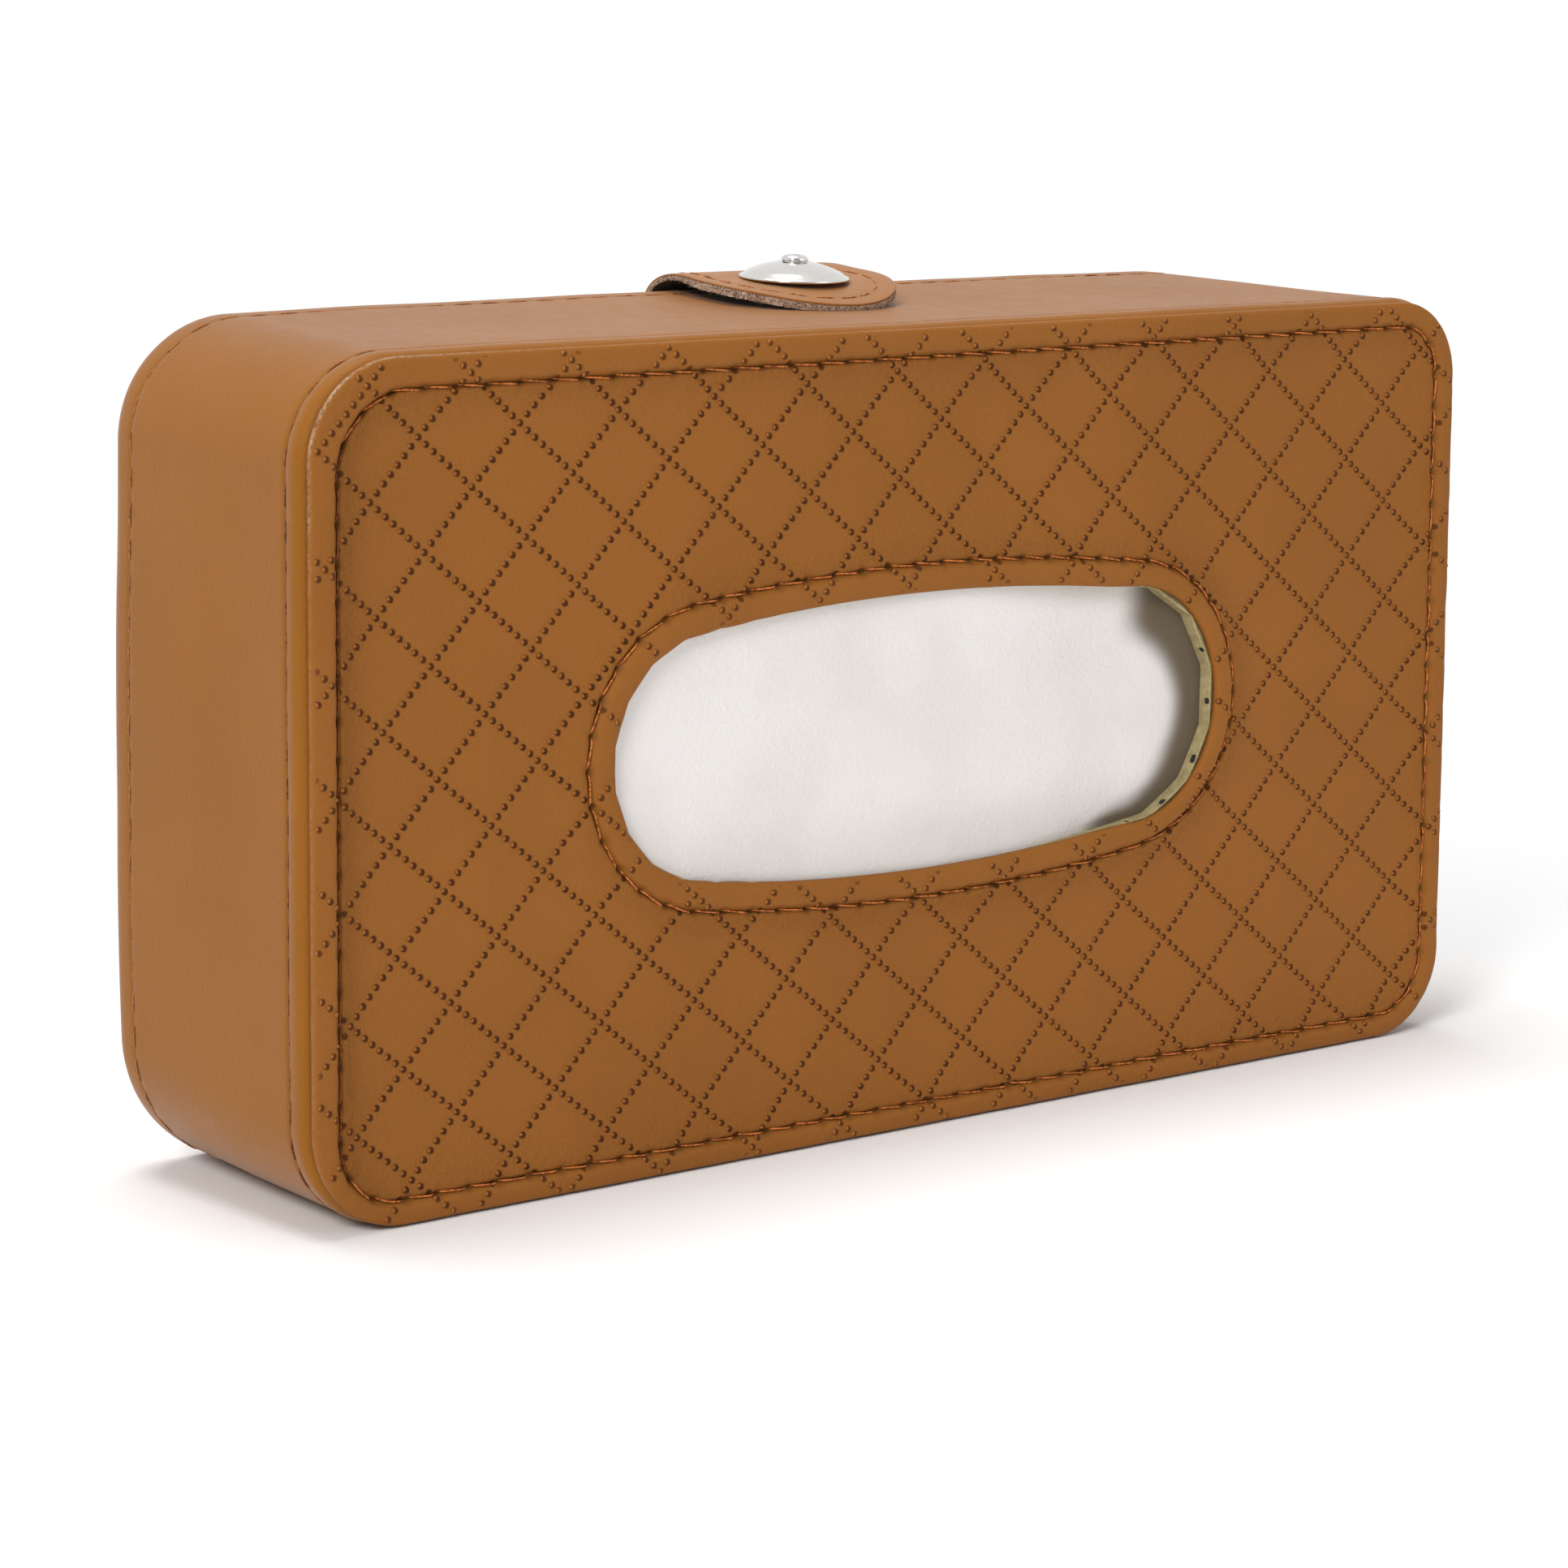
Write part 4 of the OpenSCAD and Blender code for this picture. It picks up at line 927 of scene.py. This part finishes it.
rings = [PACK.ring(pack_cols, -m) for m in PACK_IN]
a, b = rings[-1], slot_points(share, SLOT_OUT[0] + 0.15)
rings += [a + (b - a) * k / 8 for k in range(1, 8)]
inward = [-6.0] * len(rings) + [-out for out in SLOT_OUT]
for out in SLOT_OUT:
    fit = 0.15 + 0.95 * at_right(share) * max(0.0, 1 - abs(out) / 6)
    rings.append(slot_points(share, out + fit))
x, z = np.moveaxis(np.array(rings), -1, 0)
levels, pack_shade = pack_front(x, z, np.array(inward)[:, None])
pack = []
for q in range(LAYERS, 0, -1):
    uneven = 0.16 * sin(q * 2.1) + 0.10 * sin(q * 5.3)
    pack.append(at_level(PACK.ring(pack_cols, -0.2 - 0.5 * uneven),
                         levels[0] + (PACK_BACK - levels[0]) * q / LAYERS))
pack = np.concatenate([np.array(pack), np.stack([x, -levels, z], -1)])
half, last = PACK_COLS // 2, (len(pack) - 1) * PACK_COLS
k = np.arange(1, half - 1)
strip = np.stack([k, k + 1, PACK_COLS - k - 1, PACK_COLS - k], 1) + last
ends = np.array([[0, 1, PACK_COLS - 1], [half - 1, half, half + 1]]) + last
sides = np.zeros(LAYERS * PACK_COLS)
piece("tissue_pack", np.concatenate([pack.reshape(-1, 3), [[0, -PACK_BACK, 58.2]]]),
      [grid_faces(len(pack), PACK_COLS, False), strip, ends,
       fan(np.arange(PACK_COLS), pack.size // 3, True)], M.paper, "cover",
      replaces=("tissue_stack",), angle=50,
      attrs={"side": np.concatenate([sides + 1, 0 * pack_shade.ravel(), [0]]),
             "pack_shade": np.concatenate([sides, pack_shade.ravel(), [0]])})

# ---- back flap
F_OUT, F_IN = -27.5, -23.5
ROLL = 1.6  # radius of the flap's rolled edge
FLAP_COLS = 600
ROW_N = -4.2  # where its stitch row lies
flap_cols = outline_columns(FLAP_COLS)


def flap_rings(c, places):
    return [at_level(FLAP.ring(c, n), f) for n, f in places]


def to_middle(ring, share_in):
    """The ring drawn in towards a line along the flap's middle."""
    goal = ring.copy()
    goal[:, 0] = np.clip(goal[:, 0], -52, 52)
    goal[:, 2] = 63.0
    return ring + (goal - ring) * share_in


def stitched(n):
    off = n - ROW_N
    return n, F_OUT + 0.42 * exp(-(off / 0.22) ** 2) + 0.12 * exp(-(off / 1.3) ** 2)


places = [(-9.0, F_IN)] + arc((-ROLL, F_IN - ROLL), ROLL, 90, 0, 6)
places += arc((-ROLL, F_OUT + ROLL), ROLL, 0, -90, 6)
places += [stitched(n) for n in (-3.0, -3.6, -3.9, -4.08, ROW_N, -4.32, -4.5, -4.8, -5.4, -6.8,
                                 -9.0, -12.0, -14.5)]
turned = flap_rings(flap_cols, places)
edge = turned[-1]
for k in range(1, 15):
    ring = to_middle(edge, k / 14)
    ring[:, 1] -= 0.10 * waves(ring[:, 0], ring[:, 2], 50, 61) * min(1.0, k / 3)
    turned.append(ring)
inside = flap_rings(flap_cols, [(-14.5, F_OUT + 1.0), (-2.4, F_OUT + 1.0), (-1.2, F_OUT + 2.0),
                                (-1.2, F_IN - 1.8), (-2.4, F_IN - 1.0), (-9.0, F_IN - 1.0)])
turned += [to_middle(inside[0], 1.0)] + inside
piece("flap_skin", np.array(turned), grid_faces(len(turned), FLAP_COLS), M.flap, "back_flap",
      replaces=("back_leather",), angle=60)
row, length = sample_path(flap_rings(flap_cols, [(ROW_N, F_OUT + 0.22)])[0],
                          np.tile([0, 1, 0], (FLAP_COLS, 1)))
at, step = stitch_places(length, 5.5, 63)
stitches("flap_stitches", row, at, step * 0.82, 0.24, (0.16, 0.4, 0.12), 64, M.thread,
         "back_flap", replaces=("back_thread",), rings=22, sides=7)
card = flap_rings(few, [(-9.1, F_IN - 1.05), (-2.5, F_IN - 1.05), (-2.5, F_OUT + 1.05),
                        (-14.4, F_OUT + 1.05), (-14.4, F_IN - 1.05)])
card[4:] = [to_middle(card[3], 1.0), to_middle(card[4], 1.0)]
piece("flap_card", np.array(card), grid_faces(6, 240), M.board, "back_flap",
      replaces=("back_board",), smooth=False)

# ---- closing strap
PLY = 0.65
SNAP_F, SNAP_Z = -7.7, 130.0
ROOT_HALF, END_R = 14.0, 16.0  # half the width at the root, radius of the round end
PATH = np.array([(-28.9, 118.5), (-28.8, 122.5), (-28.2, 126.0), (-26.5, 128.4), (-24.0, 129.9),
                 (-20.6, 130.7), (-16.4, 130.75), (-12.0, 130.25), (-7.7, 129.85), (-3.2, 129.35),
                 (0.8, 128.75), (4.4, 127.95), (8.2, 126.9), (11.0, 126.0)])


def through(points, count):
    """A smooth curve through the points (Catmull-Rom) in even steps, and their lengths."""
    p = np.vstack([2 * points[0] - points[1], points, 2 * points[-1] - points[-2]])
    out = []
    for k in range(1, len(p) - 2):
        t = np.linspace(0, 1, 24, endpoint=False)[:, None]
        out.append(0.5 * (2 * p[k] + (p[k + 1] - p[k - 1]) * t
                          + (2 * p[k - 1] - 5 * p[k] + 4 * p[k + 1] - p[k + 2]) * t ** 2
                          + (3 * p[k] - 3 * p[k + 1] + p[k + 2] - p[k - 1]) * t ** 3))
    fine = np.vstack(out + [points[-1:]])
    s = np.concatenate([[0], np.cumsum(np.linalg.norm(np.diff(fine, axis=0), axis=1))])
    even = np.linspace(0, s[-1], count)
    return np.interp(even, s, fine[:, 0]), np.interp(even, s, fine[:, 1]), even


line_f, line_z, line_s = through(PATH, 160)
S_SNAP = float(np.interp(SNAP_F, line_f, line_s))


def strap_at(s, side, lift):
    """A point on the strap: distance s along it, side across, lift over its middle."""
    (f, z), (f1, z1), (f2, z2) = ((np.interp(v, line_s, line_f), np.interp(v, line_s, line_z))
                                  for v in (s, s - 0.3, s + 0.3))
    h = np.hypot(f2 - f1, z2 - z1)
    lift = lift + np.where(side > 0, 0.0038, 0.0) * side ** 2
    return np.stack([side, -(f - (z2 - z1) / h * lift), z + (f2 - f1) / h * lift], -1)


def half_width(s):
    return np.where(s <= S_SNAP, ROOT_HALF + (END_R - ROOT_HALF) * smoothstep(0, S_SNAP, s),
                    np.sqrt(np.clip(END_R ** 2 - (s - S_SNAP) ** 2, 0, None)))


def backing(s):
    """How far the strap's underside lies under its middle: thin over the arch."""
    return -0.45 - 0.5 * smoothstep(S_SNAP - 12, S_SNAP - 2, s)


def strap_ply(name, low, high, material, node, soft, seed, rough=0.0, dent=0.0):
    """A ply of the strap as a closed shell: runs of points along it, side by side. soft
    rounds its edges, dent sinks the stitch row, rough frays the cut edge."""
    s = np.concatenate([np.linspace(0, S_SNAP, 46),
                        S_SNAP + END_R * np.sin(np.linspace(0, pi / 2, 46)[1:])])
    half = np.maximum(half_width(s), 0.05)
    low = backing(s) if low is None else low
    across = [1.0, 0.985, 0.95, 0.9, 0.86, 0.83, 0.80, 0.76, 0.7, 0.6, 0.45, 0.3, 0.15, 0.0]
    runs = [(a, 1) for a in across + [-a for a in across[-2::-1]]]
    runs += [(-1.0, 0.55), (-1.0, 0.1), (-0.985, 0)]
    runs += [(a, 0) for a in (-0.7, -0.35, 0.0, 0.35, 0.7)] + [(0.985, 0), (1.0, 0.1), (1.0, 0.55)]
    r = np.random.default_rng(seed)
    verts, under = [], []
    for a, height in runs:
        side = a * half
        d = np.minimum(half - np.abs(side), END_R - np.hypot(np.maximum(s - S_SNAP, 0), side))
        lift = low + (high - low) * height
        if height == 1:
            lift = lift - soft * np.exp(-d / 0.25) - dent * bell(d - 3.0, 0.32)
        jag = rough * r.normal(0, 1, len(s)) if 0 < height < 1 else 0
        verts.append(strap_at(s, side + jag * np.sign(a), lift + 0 * s))
        # the underside's points get painted shade in the backing's material
        under.append(np.full(len(s), 1.0 if height == 0 and abs(a) < 0.99 else 0.0))
    verts = np.array(verts)
    mids = verts[:, [0, -1]].mean(0)
    first = np.arange(len(runs)) * len(s)
    return piece(name, np.concatenate([verts.reshape(-1, 3), mids]),
                 [grid_faces(len(runs), len(s), True, False), fan(first, len(runs) * len(s)),
                  fan(first + len(s) - 1, len(runs) * len(s) + 1, True)],
                 material, None, replaces=(node,),
                 attrs={"under": np.append(under, [0, 0])}, angle=50)


top_ply = strap_ply("strap_top_ply", 0.30, PLY + 0.02, M.strap, "strap_outer_ply", 0.10, 71,
                    dent=0.18)
core_ply = strap_ply("strap_backing", None, 0.30, M.raw, "strap_inner_ply", 0.02, 72, rough=0.15)

# loose fibres along the raw edge
count = 2600
r = np.random.default_rng(73)
a = r.uniform(0, 1, count)
s = np.where(a < 0.45, r.uniform(3, S_SNAP, count),
             S_SNAP + END_R * np.sin(np.abs(r.uniform(-pi / 2, pi / 2, count))))
sign = r.choice([-1, 1], count)
half = half_width(s)
lift = backing(s) + (0.25 - backing(s)) * r.uniform(0, 1, count)
root = strap_at(s, sign * (half - 0.05), lift)
out = strap_at(s + np.where(s > S_SNAP, (s - S_SNAP) / END_R, 0) * 0.4, sign * (half + 0.35),
               lift + r.uniform(-0.15, 0.15, count))
d = unit(out - root) * r.uniform(0.15, 0.42, (count, 1)) + r.normal(0, 0.10, (count, 3))
b = unit(np.cross(d, r.normal(0, 1, (count, 3))))
c = unit(np.cross(d, b))
w = r.uniform(0.025, 0.05, (count, 1))
verts = np.stack([root + b * w, root - 0.5 * b * w + 0.87 * c * w,
                  root - 0.5 * b * w - 0.87 * c * w, root + d], 1)
fibres = piece("strap_fibres", verts,
               tile(np.array([[0, 1, 3], [1, 2, 3], [2, 0, 3], [0, 2, 1]]), 4, count), M.fibre,
               None, smooth=False)

# the strap's stitch row, from the root's left side round the end to its right side
end, root = END_R - 3.0, ROOT_HALF - 3.0
turn = np.linspace(pi, 0, 160)
go, back = np.linspace(0, 1, 50, endpoint=False), np.linspace(0, 1, 50)
s = np.concatenate([go * S_SNAP, S_SNAP + end * np.sin(turn), S_SNAP * (1 - back)])
side = np.concatenate([-root - go * (end - root), end * np.cos(turn), end + back * (root - end)])
row, length = sample_path(strap_at(s, side, PLY - 0.10),
                          strap_at(s, side, PLY + 1.0) - strap_at(s, side, PLY), closed=False)
at, step = stitch_places(length, 4.3, 74, inset=1.5)
strap_stitches = stitches("strap_stitches", row, at, step * 0.93, 0.15, (0.12, 0.30, 0.06), 75,
                          M.tan, None, replaces=("strap_thread",), rings=22, sides=7)
for ob in (top_ply, core_ply, fibres, strap_stitches):
    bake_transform(ob)

# ---- snap cap
TILT = radians(3.0)


def snap_piece(name, profile, sides, material, node):
    """A profile of (radius, height over the strap) turned about the snap's axis."""
    r, h = np.array(profile).T[:, :, None]
    th = round_angles(sides)
    back, up = r * np.sin(th), PLY + h + 0 * th
    piece(name, np.stack([r * np.cos(th), back * cos(TILT) - up * sin(TILT) - SNAP_F,
                          back * sin(TILT) + up * cos(TILT) + SNAP_Z], -1),
          grid_faces(len(profile), sides), material, "closing_strap",
          replaces=(node,), angle=50)


dome = [(r, 0.55 + 2.45 * (1 - (r / 8.9) ** 2)) for r in np.linspace(7.4, 2.9, 14)]
snap_piece("snap_dome", [(1.45, 0.05), (8.3, 0.02), (8.62, 0.05), (8.78, 0.20), (8.80, 0.36),
                         (8.70, 0.52), (8.45, 0.66), (8.0, 0.86)] + dome
           + [(2.75, 2.74), (2.55, 2.66), (2.35, 2.62), (1.45, 2.62)], 128, M.cap, "snap_cap")
snap_piece("snap_nub", [(0.001, -1.3 - PLY), (1.30, -1.3 - PLY), (1.30, 2.5), (1.9, 2.62),
                        (2.06, 2.78), (2.14, 3.05), (2.08, 3.35), (1.88, 3.62), (1.55, 3.80),
                        (1.2, 3.86), (0.9, 3.82), (0.6, 3.72), (0.3, 3.66), (0.001, 3.64)],
           64, M.nub, "cap_rivet")

# ---- hinge strip
across = np.concatenate([np.linspace(12.5, 22.5, 10), np.linspace(23, 27.5, 10)])
hx, hy = np.meshgrid(np.linspace(-91.7, 91.7, 180), across)
strip = np.concatenate([np.stack([hx, hy, 0.02 + 0 * hx], -1),
                        np.stack([hx, hy, 1.18 + 0 * hx], -1)[::-1]])
rows, count = strip.shape[:2]
k = np.arange(len(across) - 1)
left = np.stack([k, k + 1, rows - 2 - k, rows - 1 - k], 1) * count
right = np.stack([k + 1, k, rows - 1 - k, rows - 2 - k], 1) * count + count - 1
hinge = piece("hinge_leather", strip, [grid_faces(rows, count, True, False), left, right], M.band,
              None, replaces=("hinge_strip",),
              attrs={"raw": np.zeros(rows * count), "shade": np.zeros(rows * count)}, angle=40)
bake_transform(hinge)

# ---- CAD nodes that stay
for node, material in (
        ("front_lining", M.lining), ("back_lining", M.lining), ("hinge_thread", M.thin),
        ("strap_sewn_end", M.strap), ("snap_stud", M.steel), ("stud_rivet", M.steel),
        ("snap_socket", M.steel), ("snap_spring", M.steel)):
    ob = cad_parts[node]
    ob = bpy.data.objects.get(ob) if isinstance(ob, str) else ob
    for s in ob.material_slots:
        s.material = material
    if not ob.material_slots:
        ob.data.materials.append(material)

# ---- floor, light, camera
WHITE = (1.0, 1.0, 1.0, 1.0)


def white_rays(t):
    """1 for rays that should find white: from the camera, and those that metal and glass
    send out."""
    rays = t.t.nodes.new("ShaderNodeLightPath").outputs
    seen = t.math("MAXIMUM", rays["Is Camera Ray"], rays["Is Glossy Ray"])
    return t.math("MAXIMUM", seen, rays["Is Transmission Ray"]), rays["Is Glossy Ray"]


me = bpy.data.meshes.new("floor")
me.from_pydata([(-6, -6, 0), (6, -6, 0), (6, 6, 0), (-6, 6, 0)], [], [(0, 1, 2, 3)])
floor = bpy.data.objects.new("floor", me)
floor.location.z = -0.0002
bpy.context.scene.collection.objects.link(floor)
t = Tree("floor_pale")
cloud = t.ramp(t.noise(3.0, 2.0, 0.5), 0.3, 0.7)
t.finish(Base_Color=t.mix(cloud, (0.95, 0.95, 0.95, 1), (0.97, 0.97, 0.97, 1)), Roughness=0.9,
         Specular_IOR_Level=0.1)
away = t.node("VectorMath", t.place, out=1, props={"operation": "LENGTH"})
share = t.math("MULTIPLY", white_rays(t)[0], t.ramp(away, 0.12, 0.30))
glow = t.node("Emission", Color=WHITE, Strength=1.0)
t.put(t.out.inputs[0], t.node("MixShader", share, t.bsdf.outputs[0], glow))
me.materials.append(t.owner)

# The world is white to the camera, and to glossy rays darker on the front left.
world = bpy.context.scene.world = bpy.data.worlds.new("studio")
t = Tree("studio", world)
seen, glossy = white_rays(t)
sky = t.t.nodes.new("ShaderNodeTexCoord").outputs["Generated"]
toward = t.node("VectorMath", sky, (-0.62, -0.77, 0.17), out=1,
                props={"operation": "DOT_PRODUCT"})
lost = t.math("MULTIPLY", t.ramp(toward, 0.35, 0.95, 0.0, 0.6), glossy)
lit = t.node("Background", Color=WHITE, Strength=0.34)
white = t.node("Background", Color=WHITE, Strength=t.math("SUBTRACT", 1.0, lost))
t.put(t.t.nodes.new("ShaderNodeOutputWorld").inputs[0],
      t.node("MixShader", seen, lit, white))

AIM = np.array([0, 0, 0.06])
for name, place, size, power in (("key", (-2.2, -1.22, 1.66), 1.0, 50),
                                 ("front_fill", (0.75, -1.5, 0.75), 1.1, 4.2),
                                 ("top", (-0.1, 0.25, 1.7), 1.0, 18)):
    data = bpy.data.lights.new(name, "AREA")
    data.shape, data.size, data.energy = "DISK", size, power
    ob = bpy.data.objects.new(name, data)
    bpy.context.scene.collection.objects.link(ob)
    ob.rotation_mode = "QUATERNION"
    ob.rotation_quaternion = Vector(place - AIM).to_track_quat("Z", "Y")
    ob.location = place

CAM_F, FRAME, SENSOR = 5589.14, 1932.0, 36.0  # focal length and image width in pixels
CAM_AZ, CAM_EL, CAM_ROLL = (radians(v) for v in (-38.82, 9.71, 0.33))
CAM_AIM, CAM_DIST = np.array([-7.62, 0.0, 51.33]), 721.32
data = bpy.data.cameras.new("camera")
data.lens, data.sensor_width = CAM_F * SENSOR / FRAME, SENSOR
data.clip_start, data.clip_end = 0.05, 50
camera = bpy.data.objects.new("camera", data)
bpy.context.scene.collection.objects.link(camera)
back = np.array([sin(CAM_AZ) * cos(CAM_EL), -cos(CAM_AZ) * cos(CAM_EL), sin(CAM_EL)])
right = np.cross(-back, [0, 0, 1.0])
right /= np.linalg.norm(right)
above = np.cross(right, -back)
rolled = (cos(CAM_ROLL) * right + sin(CAM_ROLL) * above,
          cos(CAM_ROLL) * above - sin(CAM_ROLL) * right, back,
          (CAM_AIM + back * CAM_DIST) * MM)
camera.matrix_world = Matrix([*np.array(rolled).T.tolist(), (0, 0, 0, 1)])
bpy.context.scene.camera = camera
bpy.context.scene.view_settings.view_transform = "Standard"
